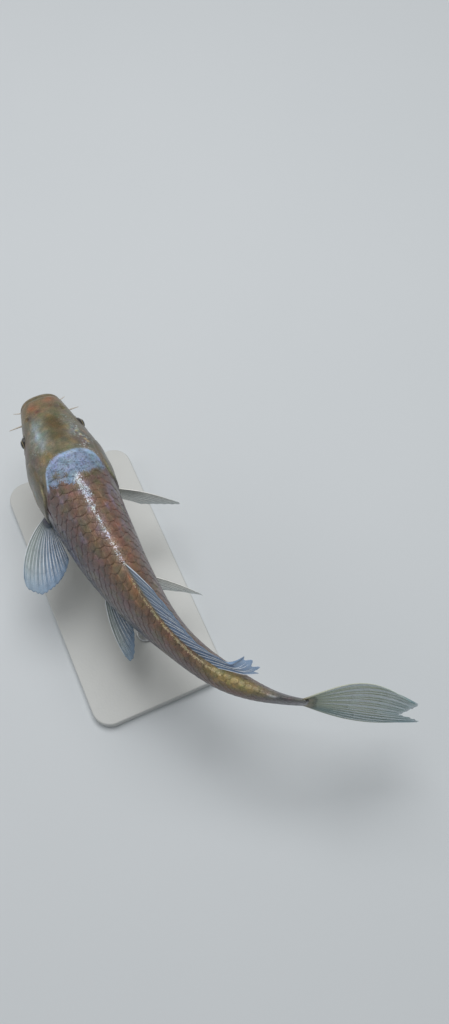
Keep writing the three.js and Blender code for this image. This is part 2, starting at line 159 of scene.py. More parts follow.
back, belly, half_width, round_above, round_below = (
    curve_through(table) for table in (BACK, BELLY, HALF_WIDTH, ROUND_ABOVE, ROUND_BELOW))
print("deepest:", round(float(back(0.4) - belly(0.4)), 1), "mm, widest:", float(half_width(0.25)) * 2)

# %% [markdown]
# ## The bent axis
#
# A swimming fish bends only sideways, mostly in its rear half. A bone rig or a curve modifier would
# bend a straight fish. Here the axis's heading is one S-shaped function of the place along the body,
# and short steps along it add up to the bent axis, on which every later shape is made.

# %% Axis and frames
AXIS_STEP = 0.001
AXIS_END = 1.06


def heading_at(s):
    """The way the body points, in radians from +X toward +Y: a start plus an S-shaped sweep."""
    return np.radians(BEND["start"] + BEND["sweep"] / (1 + np.exp(-BEND["rate"] * (s - BEND["centre"]))))


axis_s = np.arange(0, AXIS_END, AXIS_STEP)
axis_heading = heading_at(axis_s[:-1] + AXIS_STEP / 2)
axis_x, axis_y = (start + np.concatenate([[0], np.cumsum(step)]) * LENGTH * AXIS_STEP
                  for start, step in zip(NOSE, (np.cos(axis_heading), np.sin(axis_heading))))


def frame_at(s, lean=None):
    """Origin on the axis and the unit directions aft, to the fish's left, and up. The back leans by
    lean degrees to the fish's right, or by its own lean at s."""
    if lean is None:
        lean = blend(LEAN["front"], LEAN["rear"], smooth(s, LEAN["from"], LEAN["to"]))
    s, tilt = np.broadcast_arrays(np.asarray(s, float), np.radians(lean))
    heading, nothing = heading_at(s), np.zeros(s.shape)
    aft = np.stack([np.cos(heading), np.sin(heading), nothing], -1)
    level = np.stack([np.sin(heading), -np.cos(heading), nothing], -1)
    cos, sin = np.cos(tilt)[..., None], np.sin(tilt)[..., None]
    straight = np.array([0, 0, 1.0])
    origin = np.stack([np.interp(s, axis_s, axis_x), np.interp(s, axis_s, axis_y), AXIS_HEIGHT + nothing], -1)
    return origin + ORIGIN, aft, level * cos + straight * sin, straight * cos - level * sin


def place(s, across, up):
    """The point that lies across and up from the axis at s."""
    origin, _, left, upward = frame_at(s)
    return origin + left * np.asarray(across)[..., None] + upward * np.asarray(up)[..., None]


print("tail root at", place(1.0, 0, 0).round(1))

# %% [markdown]
# ## Rows round the body
#
# A section of the body is a rounded oval. Scales stand in rows, evenly spaced along the skin and not
# along the angle of an oval, so places round the body are counted in scale rows: row 0 is the ridge of
# the back, 7 the lateral line on the left, 14 the middle of the belly and 21 the line on the right. A
# table turns a row into an angle. The skin and the scales both use it, so they fit each other.

# %% Sections, rows and the surface
ROWS = 28
SIDES = 224
LIPS_END = 0.022
HEAD_END = 0.312


def section(s, angle):
    """Across and up on the rounded oval at s: a superellipse, with its own roundness above and below
    its middle. Angle 0 is the fish's left and a quarter turn is the back."""
    top, bottom = back(s), belly(s)
    middle = (top + bottom) / 2
    roundness = np.where(np.sin(angle) > 0, round_above(s), round_below(s))
    wide, rise = (np.sign(part) * np.abs(part) ** (2 / roundness) for part in (np.cos(angle), np.sin(angle)))
    return half_width(s) * wide, middle + (top - middle) * rise


# The skin's rings stand closest at the lips, then 0.5 mm apart on the head and 1.5 mm on the trunk.
RINGS = {"lips": 22, "head": 208, "trunk": 168}
stations = np.concatenate([
    LIPS_END * (np.arange(RINGS["lips"]) / RINGS["lips"]) ** 1.5,
    np.linspace(LIPS_END, HEAD_END, RINGS["head"]),
    np.linspace(HEAD_END + 0.0042, 1, RINGS["trunk"]),
])
row_places = np.arange(SIDES + 1) * ROWS / SIDES
# An outline is measured in this many steps to a quarter turn, from the ridge round to the ridge.
QUARTER = 180
fine_angles = np.radians(np.linspace(90, -270, 4 * QUARTER + 1))
outline = np.stack(section(stations[:, None], fine_angles[None]), -1)
arcs = np.cumsum(np.linalg.norm(np.diff(outline, axis=1, prepend=outline[:, :1]), axis=2), axis=1)
quarter_rows = np.arange(0, ROWS + 1, ROWS // 4)
wanted = [np.interp(row_places, quarter_rows, arc[::QUARTER]) for arc in arcs]
angle_table = np.stack([np.interp(w, arc, fine_angles) for w, arc in zip(wanted, arcs)])


def read_grid(grid, i, j):
    """A grid's value at a row i and a column j with fractions, between the four nearest entries."""
    i, j = (np.clip(part, 0, size - 1.001) for part, size in zip((i, j), grid.shape))
    i0, j0 = i.astype(int), j.astype(int)
    p, q = (part.reshape(part.shape + (1,) * (grid.ndim - 2)) for part in (i - i0, j - j0))
    near, far = (blend(grid[k, j0], grid[k, j0 + 1], q) for k in (i0, i0 + 1))
    return blend(near, far, p)


def angle_at(s, row):
    """The section's angle of a row at s."""
    ring = np.interp(s, stations, np.arange(len(stations)))
    return read_grid(angle_table, ring, np.mod(row, ROWS) * SIDES / ROWS)


def phi_at(s, row):
    """The same angle in degrees from -90 to 270: 0 on the fish's left, 90 on the ridge, 180 on its right."""
    return np.mod(np.degrees(angle_at(s, row)) + 90, 360) - 90


def off_ridge(phi):
    """Degrees from the ridge, from -180 to 180, positive toward the fish's right."""
    return np.mod(phi + 90, 360) - 180


# The small steps along and round the body that give the surface's slope.
STEP_S, STEP_ROW = 0.002, 0.06


def on_body(s, row, height=0.0):
    """The point at a height over the body's surface, along the cross product of a small step round the
    body and a small step along it."""
    def surface(s, row):
        """The point on the plain body."""
        return place(s, *section(s, angle_at(s, row)))

    s, row = np.broadcast_arrays(np.asarray(s, float), np.asarray(row, float))
    along = surface(np.minimum(s + STEP_S, 1), row) - surface(np.maximum(s - STEP_S, 0), row)
    around = surface(s, row + STEP_ROW) - surface(s, row - STEP_ROW)
    return surface(s, row) + unit(np.cross(around, along)) * np.broadcast_to(height, s.shape)[..., None]


print("rows are", (arcs[250, QUARTER] / 7).round(1), "mm apart on the flank")

# %% [markdown]
# ## Making a mesh from arrays
#
# One helper makes every new piece from points in millimetres and arrays of point numbers.

# %% Mesh helpers


def grid_faces(rows, columns, around=False):
    """Four-cornered faces of a grid of points. They face the way in which a step to the next column
    crosses a step to the next row. around joins the last column to the first."""
    i, j = np.meshgrid(np.arange(rows - 1), np.arange(columns if around else columns - 1), indexing="ij")
    k = (j + 1) % columns
    i, below = i * columns, (i + 1) * columns
    return np.stack([i + j, i + k, below + k, below + j], -1).reshape(-1, 4)


def cap_faces(ring, pole, turned=False):
    """Triangles from a closed ring of point numbers to one pole point."""
    after = np.roll(ring, -1)
    return np.stack([*((after, ring) if turned else (ring, after)), np.full_like(ring, pole)], -1)


def border_of(number):
    """The border of a grid of point numbers as one closed ring, turning with the grid's faces."""
    return np.concatenate([number[0, :], number[1:, -1], number[-1, -2::-1], number[-2:0:-1, 0]])


def rim_faces(upper, lower):
    """Four-cornered faces between an upper ring of point numbers and the ring under it."""
    return np.stack([upper, lower, np.roll(lower, -1), np.roll(upper, -1)], -1)


def ring_faces(count, sides):
    """Faces over closed rings that turn anticlockwise and rise, with a pole point for each end."""
    end = count * sides
    return [grid_faces(count, sides, around=True), cap_faces(np.arange(sides), end, turned=True),
            cap_faces(np.arange(end - sides, end), end + 1)]


def closed_rings(rings, poles=None):
    """Points and faces over rings (n, sides, 3). Each pole is given, or the middle of its end ring."""
    poles = rings[[0, -1]].mean(1) if poles is None else poles
    return np.concatenate([rings.reshape(-1, 3), poles]), ring_faces(*rings.shape[:2])


def copied(faces, copies, per, start=0):
    """The faces of one plate or strand for a number of copies of it, with per points in each."""
    first = (np.arange(copies) * per)[:, None, None] + start
    return [(part[None] + first).reshape(-1, part.shape[1]) for part in faces]


def put(name, data):
    """A new object in the scene."""
    thing = bpy.data.objects.new(name, data)
    bpy.context.scene.collection.objects.link(thing)
    return thing


ATTRIBUTE_KINDS = {1: ("FLOAT", "value"), 3: ("FLOAT_VECTOR", "vector"), 4: ("FLOAT_COLOR", "color")}


def new_piece(name, points, faces, material, slot, nodes=(), uv=None, rounded=True, **attributes):
    """A mesh object from points in millimetres and a list of face arrays. uv has one place for each
    face corner, in the order of the faces. rounded shades faces smooth: one answer, or one per array."""
    mesh = bpy.data.meshes.new(name)
    mesh.from_pydata(points.reshape(-1, 3) * 0.001, [], [face for part in faces for face in part.tolist()])
    shading = np.repeat(np.broadcast_to(rounded, len(faces)), [len(part) for part in faces])
    mesh.polygons.foreach_set("use_smooth", shading)
    if "paint" in attributes:
        attributes["paint"] = np.column_stack([attributes["paint"], np.ones(len(attributes["paint"]))])
    for key, value in attributes.items():
        kind, field = ATTRIBUTE_KINDS[value.size // len(value)]
        mesh.attributes.new(key, kind, "POINT").data.foreach_set(field, value.astype(np.float32).ravel())
    if uv is not None:
        mesh.uv_layers.new(name="OFBake").data.foreach_set("uv", uv.astype(np.float32).ravel())
    mesh.materials.append(material)
    mesh.validate()
    piece = put(name, mesh)
    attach(piece, "root")
    if nodes:
        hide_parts(*nodes)
    print(f"{name}: {sum(len(p.vertices) - 2 for p in mesh.polygons)} triangles")


print("faces of a tube of 3 rings with 4 sides:", sum(len(part) for part in ring_faces(3, 4)))

# %% [markdown]
# ## Colour and node helpers
#
# Colours are sRGB hex values, as a colour picker shows them, and one function makes them linear. One
# more function adds a shader node, and a last one ends every material with the same shader.

# %% Colour and node helpers


def colour(code):
    """Linear red, green and blue of an sRGB hex value."""
    value = np.array([int(code[i:i + 2], 16) for i in (1, 3, 5)]) / 255
    return np.where(value <= 0.04045, value / 12.92, ((value + 0.055) / 1.055) ** 2.4)


MODES = {"Mix": "data_type", "MapRange": "interpolation_type", "Attribute": "attribute_name"}


def add_node(tree, kind, *inputs, **named):
    """Adds a node; its operation or other mode may stand after its kind. Its working inputs in turn,
    and those given by name, get a value, a hex colour, or a link from a socket or from a node's first
    working output."""
    kind, *mode = kind.split()
    node = tree.nodes.new("ShaderNode" + kind)
    for value in mode:
        setattr(node, MODES.get(kind, "operation"), value)
    working = [socket for socket in node.inputs if socket.enabled]
    pairs = [*zip(working, inputs), *((node.inputs[key], value) for key, value in named.items())]
    for socket, value in pairs:
        if isinstance(value, bpy.types.Node):
            value = next(output for output in value.outputs if output.enabled)
        if isinstance(value, bpy.types.NodeSocket):
            tree.links.new(value, socket)
        else:
            socket.default_value = (*colour(value), 1.0) if isinstance(value, str) else value
    return node


def empty_tree(owner):
    """Empties a material's or a world's nodes. Returns the function that adds a node to them."""
    owner.use_nodes = True
    owner.node_tree.nodes.clear()
    return functools.partial(add_node, owner.node_tree)


def new_material(name):
    """A material without nodes, and the function that adds one to it."""
    material = bpy.data.materials.new(name)
    return material, empty_tree(material)


def finish(add, tone, relief, roughness, ior=1.5, coat=(), **more):
    """The main shader. relief is a height with the strength and depth of its bumps, in metres, and coat
    the weight, roughness and index of the wet film over it."""
    inputs = {"Base Color": tone, "Roughness": roughness, "IOR": ior, **more}
    inputs.update(zip(("Coat Weight", "Coat Roughness", "Coat IOR"), coat))
    if relief:
        inputs["Normal"] = add("Bump", **dict(zip(("Height", "Strength", "Distance"), relief)))
    add("OutputMaterial", add("BsdfPrincipled", **inputs))


def two_tone(name, dark, pale, cloud, grain, roughness, stretch=(1.0, 1.0, 1.0), **more):
    """A material of two colours mixed by a noise, whose scale and detail are cloud. grain is None, or
    the scale and detail of the relief's noise, with the strength and depth of its bumps."""
    material, add = new_material(name)
    where = add("Mapping", add("TexCoord").outputs["Object"], Scale=stretch)
    tone = add("Mix RGBA", add("TexNoise", where, *cloud), dark, pale)
    relief = (add("TexNoise", where, *grain[:2]), *grain[2:]) if grain else None
    finish(add, tone, relief, roughness, **more)
    return material


print("linear value of a middle grey:", colour("#808080")[0].round(3))

# %% [markdown]
# ## Markings
#
# A koi's markings lie on the skin and show through the scales, so both need the same colours at the
# same places. A painted image would do it, but a formula stays sharp at any size. Each marking is a
# soft mask over the place s along the body and the angle phi round it, and the masks mix named colours
# one over another, as an airbrush would.

# %% Named colours and places
PAINT = {name: colour(code) for name, code in {
    "back": "#6f574a", "bronze": "#786040", "russet": "#7a5547", "mauve": "#503f48", "flank": "#465060",
    "belly": "#b9b0a0", "olive": "#716a52", "moss": "#5b583f", "tan": "#846c42", "brow": "#574727",
    "ice": "#93a8ae", "snout": "#70644a", "orange": "#905f40", "lip": "#a89880", "nostril": "#423a3f",
    "russet_spot": "#61372e", "stalk": "#87774e", "straw": "#c3b27a", "rust": "#70513a",
    "silver": "#dfe4ea", "rim": "#b9b894", "cape_rim": "#a9c1e2", "gill": "#625c48", "lilac": "#8f8aa6",
    "ember": "#b0663c", "lip_edge": "#a88474", "blood": "#6e3530", "throat": "#b7a58e",
    "gullet": "#5e3a35", "shadow": "#332d2a",
}.items()}
# Brown and cream beads in turn between the right eye and the gill cover's rim, as (s, phi).
FRECKLES = [(0.168, 117), (0.176, 120), (0.183, 116), (0.189, 123), (0.197, 121), (0.206, 126),
            (0.163, 123), (0.214, 128)]
# Brown blotches on the pale nape, as (s, phi, radius in mm).
BLOTCHES = [(0.282, 66, 3.4), (0.291, 79, 2.1), (0.308, 102, 3.2), (0.306, 116, 3.6), (0.3, 127, 3.0),
            (0.322, 66, 3.4), (0.333, 79, 1.8), (0.332, 114, 2.6), (0.348, 58, 2.2), (0.36, 102, 1.6)]
edge_curve = curve_through([
    (0, 0.2395), (12, 0.2405), (20, 0.244), (30, 0.2525), (37, 0.264), (41, 0.274), (46, 0.29),
    (52, 0.303), (67, 0.313), (90, 0.314), (115, 0.31), (135, 0.296), (155, 0.275), (180, 0.258)])
line_middle = curve_through([(0.27, 90), (0.32, 91.5), (0.35, 92.8), (0.38, 91), (0.45, 89), (0.53, 90.5)])
line_half = curve_through([(0.26, -6), (0.285, -1.5), (0.3, 0.6), (0.32, 1.6), (0.345, 2.0), (0.375, 1.0),
                           (0.405, 0.0), (0.47, -0.1), (0.53, -0.3), (0.56, -6)])
gold_half = curve_through([(0.53, -6), (0.565, -0.1), (0.6, 0.3), (0.68, 0.45), (0.78, 0.6), (0.82, 0.4),
                           (0.86, -6)])
cape_end = curve_through([(30, 0.25), (44, 0.276), (52, 0.288), (62, 0.3), (76, 0.307), (86, 0.314),
                          (95, 0.306), (110, 0.303), (125, 0.304), (136, 0.29), (150, 0.26)])
print(len(PAINT), "named colours")

# %% Markings


def ripple(a, b, seed):
    """A cheap smooth noise from -1 to 1: five sine waves whose directions turn by the golden angle."""
    turn = seed + 2.4 * np.arange(1, 6)
    wave = [np.sin((a * np.cos(t) + b * np.sin(t)) * (1 + 0.37 * k) + 1.7 * t) for k, t in enumerate(turn)]
    return sum(wave) / 3.2


def scale_edge(phi):
    """Where the scales begin: at the nape on the back, further aft behind the gill covers."""
    off = off_ridge(phi)
    return edge_curve(np.abs(off - 4 * fall(np.abs(off), 35, 60)))


def lip_band(phi):
    """Where the lips end: a low upper lip and a fuller lower one."""
    return blend(0.0068, 0.0016, smooth(np.sin(np.radians(phi)), -0.2, 0.9))


def lay(paint, name, mask):
    """Mixes a named colour over an array of colours."""
    paint += (PAINT[name] - paint) * np.clip(mask, 0, 1)[..., None]


def markings(s, phi):
    """Linear colour at (s, phi), from layers of a colour's name and its mask."""
    mm, off = s * LENGTH, np.abs(off_ridge(phi))
    coarse, fine = ripple(mm / 9, phi / 9, 1), ripple(mm / 3.5, phi / 5, 2)
    streaks = 0.72 + 0.35 * ripple(mm / 4, phi / 5, 7)
    stalk = smooth(s, 0.74, 0.83)
    past = s - scale_edge(phi)
    head = fall(past, -0.012, 0.0)

    def spot(s0, phi0, long, wide):
        """A soft round mark."""
        return hump(s, s0, long) * hump(phi, phi0, wide)

    def cloud(long, wide, seed, low, high):
        """Soft patches where a ripple is high."""
        return smooth(ripple(mm / long, phi / wide, seed), low, high)

    layers = [
        # Trunk: bronze beside the ridge, russet on the right of it, mauve flanks, pale belly. The mauve
        # and blue-grey of the sides are partly the fish's own colours and partly painted shade.
        ("bronze", 0.55 * hump(off, 18, 26) * smooth(s, 0.3, 0.5) * (0.6 + 0.5 * coarse)),
        ("russet", 0.6 * hump(phi, 112, 17) * smooth(s, 0.32, 0.4) * fall(s, 0.52, 0.62)),
        ("mauve", 0.75 * smooth(off, 22, 60) * (0.8 + 0.2 * coarse)),
        ("flank", 0.85 * smooth(off + 8 * coarse, 62, 105)),
        ("belly", smooth(off + 6 * coarse, 112, 150)),
        ("olive", 0.5 * cloud(6, 7, 12, 0.25, 0.9) * smooth(s, 0.28, 0.34)),
        ("lilac", 0.4 * cloud(5, 6, 21, 0.35, 0.9) * hump(s, 0.38, 0.1)),
        ("ember", 0.75 * spot(0.566, 82, 0.006, 4) + 0.6 * spot(0.588, 80, 0.007, 4)),
        # Tail stalk: straw and olive gold with rusty borders.
        ("rust", 0.8 * stalk * hump(off, 56, 34)),
        ("stalk", stalk * fall(off + 9 * fine, 24, 56)),
        ("straw", 0.55 * stalk * hump(phi, 84, 20) * (0.45 + 0.55 * fine) * fall(s, 0.92, 0.96)),
        ("flank", 0.7 * smooth(s, 0.87, 0.95)),
        ("silver", 0.7 * spot(0.932, 76, 0.008, 9)),
        ("mauve", 0.5 * spot(0.965, 72, 0.018, 24)),
        # Head: olive, with a brown brow, icy cheeks, a peach snout and orange patches.
        ("olive", head),
        ("moss", head * 0.6 * cloud(7, 8, 5, 0.0, 0.8)),
        ("tan", head * 0.55 * cloud(5, 6, 9, 0.2, 0.9)),
        ("mauve", head * 0.65 * hump(off, 74, 26) * smooth(s, 0.05, 0.13)),
        ("ice", (0.9 * spot(0.155, 66, 0.032, 13) + 0.6 * spot(0.118, 66, 0.016, 11)) * streaks),
        ("ice", (0.7 * spot(0.193, 70, 0.014, 9) + 0.55 * spot(0.18, 118, 0.05, 11)) * streaks),
        ("brow", 0.95 * spot(0.122, 93, 0.02, 9) + 0.95 * spot(0.145, 98, 0.02, 10)),
        ("brow", 0.8 * spot(0.178, 92, 0.016, 10) + 0.5 * spot(0.2, 112, 0.016, 9)),
        ("gill", head * 0.5 * smooth(s, 0.19, 0.21) * smooth(off, 58, 75)),
        ("moss", head * 0.55 * smooth(off + 8 * coarse, 40, 62) * smooth(s, 0.16, 0.2)),
        ("mauve", head * (0.55 * spot(0.205, 124, 0.03, 13) + 0.4 * spot(0.215, 50, 0.024, 12))),
        ("throat", head * smooth(off, 115, 145)),
        ("snout", fall(s + 0.008 * coarse, 0.07, 0.1) * (1 - smooth(off, 60, 115) * 0.6)),
        ("orange", 0.85 * spot(0.06, 70, 0.015, 14) + 0.75 * spot(0.044, 112, 0.013, 16)),
        ("russet_spot", 0.75 * spot(0.078, 80, 0.006, 6) + 0.5 * spot(0.071, 104, 0.006, 7)),
        ("nostril", 0.7 * spot(0.088, 58, 0.01, 9) + 0.6 * spot(0.077, 117, 0.009, 9)),
        *(("straw" if number % 2 else "russet_spot", 0.75 * spot(*bead, 0.0034, 2.3))
          for number, bead in enumerate(FRECKLES)),
        ("lip", 0.55 * fall(s, 0.005, 0.024)),
        ("lip_edge", 0.6 * fall(s / lip_band(phi), 0.6, 1.0)),
        ("russet_spot", 0.9 * spot(0.223, 118, 0.008, 5) * (0.7 + 0.5 * fine)),
        ("tan", 0.7 * spot(0.223, 62, 0.011, 8)),
        ("bronze", head * 0.5 * hump(off, 88, 24) * hump(s, 0.252, 0.03) * (0.7 + 0.6 * coarse)),
        ("ice", head * 0.3 * hump(off, 74, 10) * hump(s, 0.245, 0.028) * (0.7 + 0.6 * fine)),
        # A bright bluish rim where the nape's skin ends over the first scales, the cape's front edge: partly
        # painted reflection of the sky.
        ("cape_rim", 0.95 * hump(past, -0.001, 0.0052) * fall(off, 38, 52) * (0.8 + 0.4 * fine)),
    ]
    paint = np.broadcast_to(PAINT["back"], s.shape + (3,)).copy()
    for name, mask in layers:
        lay(paint, name, mask)
    return paint


# Signed distances into a mark are cut off at this many mm outside it.
FAR = 6.0
NO_MARKS, NO_SPECKS = np.full(3, -FAR), np.array([0, 0, -FAR])


def signed_marks(s, phi):
    """Distances in mm into the marks that need a crisp edge, positive inside: x the white line of the
    ridge, y the golden line along the dorsal fin's left, z the silvery blue cape of the nape. The white
    line and the cape are partly painted reflection of the sky on the wet back."""
    per_degree = np.pi / 180 * half_width(s)
    white = line_half(s) - np.abs(phi - line_middle(s)) * per_degree
    gold = gold_half(s) - np.abs((90 - phi) * per_degree - 1.4)
    behind = (s - scale_edge(phi)) * LENGTH
    ahead = (cape_end(phi) + 0.006 * np.sin(phi / 4) - s) * LENGTH
    cape = np.minimum(np.minimum(behind + 1.2, ahead), (56 - np.abs(off_ridge(phi))) * per_degree)
    return np.stack([np.maximum(white, -FAR), np.maximum(gold, -FAR), np.clip(cape, -FAR, FAR)], -1)


def speck_masks(s, phi):
    """x, y: where pale and dark specks show, pale on the head's upper sides, dark on the cape.
    z: the depth in mm into the nearest brown blotch of the nape."""
    bare = fall(s - scale_edge(phi), -0.012, 0)
    sides = hump(phi, 124, 15) + 0.5 * hump(phi, 60, 14)
    pale = 0.9 * bare * smooth(s, 0.09, 0.13) * sides * (0.5 + 0.6 * ripple(s * 90, phi / 9, 3))
    dark = 0.8 * smooth(signed_marks(s, phi)[..., 2], -1, 2)
    blotch = np.max([size - np.hypot((s - s0) * LENGTH, (phi - phi0) * np.pi / 180 * half_width(s))
                     for s0, phi0, size in BLOTCHES], axis=0)
    return np.stack([np.clip(pale, 0, 0.75), dark, np.maximum(blotch, -FAR)], -1)


print("colour on the ridge at mid body:", markings(np.array([0.5]), np.array([90.0]))[0].round(3))

# %% [markdown]
# ## Wet fish skin
#
# Fish skin is thin, translucent and covered by slime, over pigment and silvery cells: satin, with fine
# mottling, tiny pores and pale specks, under a clear wet gloss. The painted colour comes from the mesh,
# noise breaks it up at the size of pigment cells, and a clear coat stands for the slime. Scales are the
# same skin over thin bone plates, so their material adds growth rings, fine rays and a paler rim, which
# is partly the plate's thin margin and partly painted light against the shade at its edge.

# %% Skin and scale materials


def skin_colour(add):
    """The painted colour, with crisp ragged marks laid over it, times patches 7 mm and mottling 3 mm
    across, then pale and dark specks where the mesh asks for them."""
    tone, marks, specks = (add(f"Attribute {name}") for name in ("paint", "marks", "specks"))
    marks, specks = (add("SeparateXYZ", part.outputs["Vector"]).outputs for part in (marks, specks))
    where = add("TexCoord").outputs["Object"]
    patches, mottle, grain = (add("TexNoise", where, *noise) for noise in
                              ((150.0, 3.0, 0.6), (360.0, 4.0, 0.65), (1250.0, 2.0, 0.5)))
    pores = add("Math MULTIPLY_ADD", mottle, 0.7, grain)
    # Each mark's edge wanders by the noise, whose middle is 0.85: the factor is in mm, as is soft.
    # The cape's blue and the white line's near white are partly painted reflection of the sky on the wet
    # back.
    for depth, wander, code, soft, strength in (
            (marks["Z"], 13.0, "#869fbd", 1.8, 0.8), (specks["Z"], 10.0, "#655a3e", 1.4, 0.88),
            (marks["Y"], 4.0, "#c6b88f", 0.8, 0.8), (marks["X"], 10.0, "#d3dae8", 2.4, 0.85)):
        depth = add("Math MULTIPLY_ADD", pores, wander, depth)
        low, high = (0.85 * wander + half * soft for half in (-0.5, 0.5))
        tone = add("Mix RGBA", add("MapRange SMOOTHSTEP", depth, low, high, 0.0, strength), tone, code)
    tint = add("VectorMath MULTIPLY_ADD", patches.outputs["Color"], (0.65, 0.5, 0.65), (0.675, 0.75, 0.675))
    broad = add("Math MULTIPLY_ADD", patches, 0.8, pores)
    shade = add("MapRange", broad, 0.85, 1.65, 0.53, 1.47)
    tone = add("VectorMath SCALE", add("VectorMath MULTIPLY", tone, tint), shade)
    dots = add("MapRange", add("TexVoronoi", where, 430.0), 0.45, 0.15)
    for amount, code in ((specks["X"], "#bcc6c4"), (specks["Y"], "#646675")):
        tone = add("Mix RGBA", add("Math MULTIPLY", dots, amount), tone, code)
    return tone, pores


def skin_material(name, *look):
    """Bare wet skin with pores."""
    material, add = new_material(name)
    tone, pores = skin_colour(add)
    finish(add, tone, (pores, 0.5, 0.0003), *look)
    return material


head_skin = skin_material("wet_fish_skin", 0.44, 1.4, (0.35, 0.16, 1.36))
fin_root_skin = skin_material("wet_fin_root_skin", 0.5, 1.36, (0.15, 0.16))

# The mesh gives each scale's point its place across, its place along, a chance of the scale's own and
# its nearness to the rim.
scale_skin, add = new_material("wet_fish_scale")
tone, pores = skin_colour(add)
plate = add("Attribute plate").outputs
parts = add("SeparateXYZ", plate["Vector"]).outputs
each = add("MapRange", parts["Z"], 0.0, 1.0, 0.93, 1.07)
# Toward its rim a scale is up to a tenth paler: partly its thin margin, partly painted light against the
# shade at the edge.
rim = add("MapRange", plate["Alpha"], 0.6, 1.0, 1.0, 1.1)
tone = add("VectorMath SCALE", tone, add("Math MULTIPLY", each, rim))
rings, rays = (add("Math SINE", add("Math MULTIPLY", value, waves))
               for value, waves in ((plate["Alpha"], 75.0), (parts["X"], 34.0)))
height = add("Math MULTIPLY_ADD", pores, 1.2, add("Math MULTIPLY_ADD", rays, 0.6, rings))
finish(add, tone, (height, 0.35, 0.0002), 0.38, 1.45, (0.4, 0.14, 1.36), Metallic=0.12)
print("skin materials:", head_skin.name, fin_root_skin.name, scale_skin.name)

# %% [markdown]
# ## Relief of the head
#
# A carp's bare head shows its bones through the skin: thick lips before a fold, two nostrils on each
# side, a raised ring round the eye, and the gill cover, a plate whose rear edge stands over a slit. It
# could be sculpted. A height over the plain body, added up from bell curves and soft steps, gives each
# feature a place and a size in millimetres, and works on both sides.

# %% Height of the skin over the plain body
COAT = 0.5
fold_curve = curve_through([(0, 0.025), (4, 0.031), (7, 0.043), (9, 0.052), (10, 0.05), (12, 0.034),
                            (14, 0.028)])


def gill_cover(s, up):
    """Place on a gill cover: 0 in its middle and 1 at its edge, with mm behind and above its middle."""
    behind, above = (s - GILL["s"]) * LENGTH, up - GILL["up"]
    reach = np.where(behind > 0, GILL["rear"], GILL["front"])
    size = GILL["square"]
    apart = (np.abs(behind / reach) ** size + np.abs(above / GILL["tall"]) ** size) ** (1 / size)
    return apart, behind, above


def skin_height(s, row):
    """Height in mm over the CAD body at (s, row), a sum of named bumps, grooves and steps."""
    up, phi, aft = section(s, angle_at(s, row))[1], phi_at(s, row), s * LENGTH
    off, past = np.abs(off_ridge(phi)), s - scale_edge(phi)

    def knob(high, at, long, away, wide):
        """A bump high mm over the place at, long mm along the body, and wide in away across it."""
        return high * hump(aft, at, long) * hump(away, 0, wide)

    # The bed of the scales, and the nape's soft rim over the first of them.
    height = 0.4 * hump(past, -0.004, 0.005) * fall(off, 45, 60) - COAT * smooth(past, -0.001, 0.004)
    # Lips, the fold behind them and the mouth's corner.
    fold, band = fold_curve(np.minimum(row, ROWS - row)), lip_band(phi)
    height += 0.4 * hump(s, 0.5 * fold, 0.35 * fold) - 0.9 * hump(s, fold, 0.005)
    height += 0.6 * hump(s, 0.35 * band, 0.4 * band) - 0.5 * hump(s, band, 0.28 * band)
    height -= 1.1 * fall(s, 0.0, 0.035)
    # Nostrils: a larger rear opening, a small front opening and a flap between them.
    nostril = (off - 39) * 0.36
    height += knob(-1.6, 30.6, 1.5, nostril, 1.6) + knob(-1.1, 26.2, 1.1, nostril, 1.1)
    height += knob(0.8, 28.2, 0.9, nostril, 2.0)
    # Eye socket with a raised ring, the groove of the bones under it, and the cheek.
    eye = np.hypot(aft - EYE["s"] * LENGTH, up - EYE["up"]) / EYE["radius"]
    height += 0.45 * hump(eye, 1.16, 0.13) - 4.2 * fall(eye, 0.62, 1.03)
    height += knob(0.9, 60, 13, up + 8, 9) - 0.3 * hump(eye, 1.9, 0.14) * smooth(EYE["up"] - up, -4, 4)
    # Crown: a shallow hollow between the eyes, a low ridge behind it and faint seams of the skull.
    height += knob(-0.7, 42, 16, off, 22) + knob(0.35, 76, 12, off, 7)
    crown = smooth(aft, 36, 48) * fall(past, -0.03, -0.012)
    height -= 0.22 * crown * hump(off, 27 + 4 * np.sin(aft / 6), 2.2)
    height -= 0.2 * hump(aft, 66 - 0.006 * off ** 2, 0.9) * fall(off, 28, 40)
    # Gill cover: a plate with fine rays, a slit behind and below it, a shallow groove before it.
    gill, behind, above = gill_cover(s, up)
    rear = smooth(behind - 0.25 * above, -7, 6)
    plate = fall(gill, 0.95, 1.0)
    height += plate * blend(0.2, 0.8, rear) - 1.6 * rear * hump(gill, 1.05, 0.04)
    height += 0.1 * plate * rear * np.sin(42 * np.arctan2(above - 17, behind + 18))
    height -= 0.4 * (1 - rear) * hump(gill, 1.0, 0.05)
    # The edge of the cheek's plate ahead of it.
    cheek = np.hypot((aft - 66) / 15, (up + 8) / 22)
    height -= 0.4 * hump(cheek, 1.0, 0.05) * smooth(aft, 66, 72) * fall(up, 4, 10)
    # Throat: the folds where the gill membranes meet underneath, and far aft the vent.
    throat = smooth(s, 0.07, 0.12) * fall(s, 0.24, 0.27)
    height -= 0.9 * throat * hump(off, blend(172, 150, smooth(s, 0.1, 0.25)), 5)
    height += knob(1.2, 0.738 * LENGTH, 0.012 * LENGTH, off - 180, 16)
    return height, phi, eye, gill, behind, above


ring_s, ring_row = np.meshgrid(stations, row_places[:-1], indexing="ij")
skin_rise, ring_phi, ring_eye, ring_gill, ring_behind, ring_above = skin_height(ring_s, ring_row)
skin_points = on_body(ring_s, ring_row, skin_rise)
print("skin grid:", skin_points.shape[:2], "rising", skin_rise.min().round(2), "to", skin_rise.max().round(2))

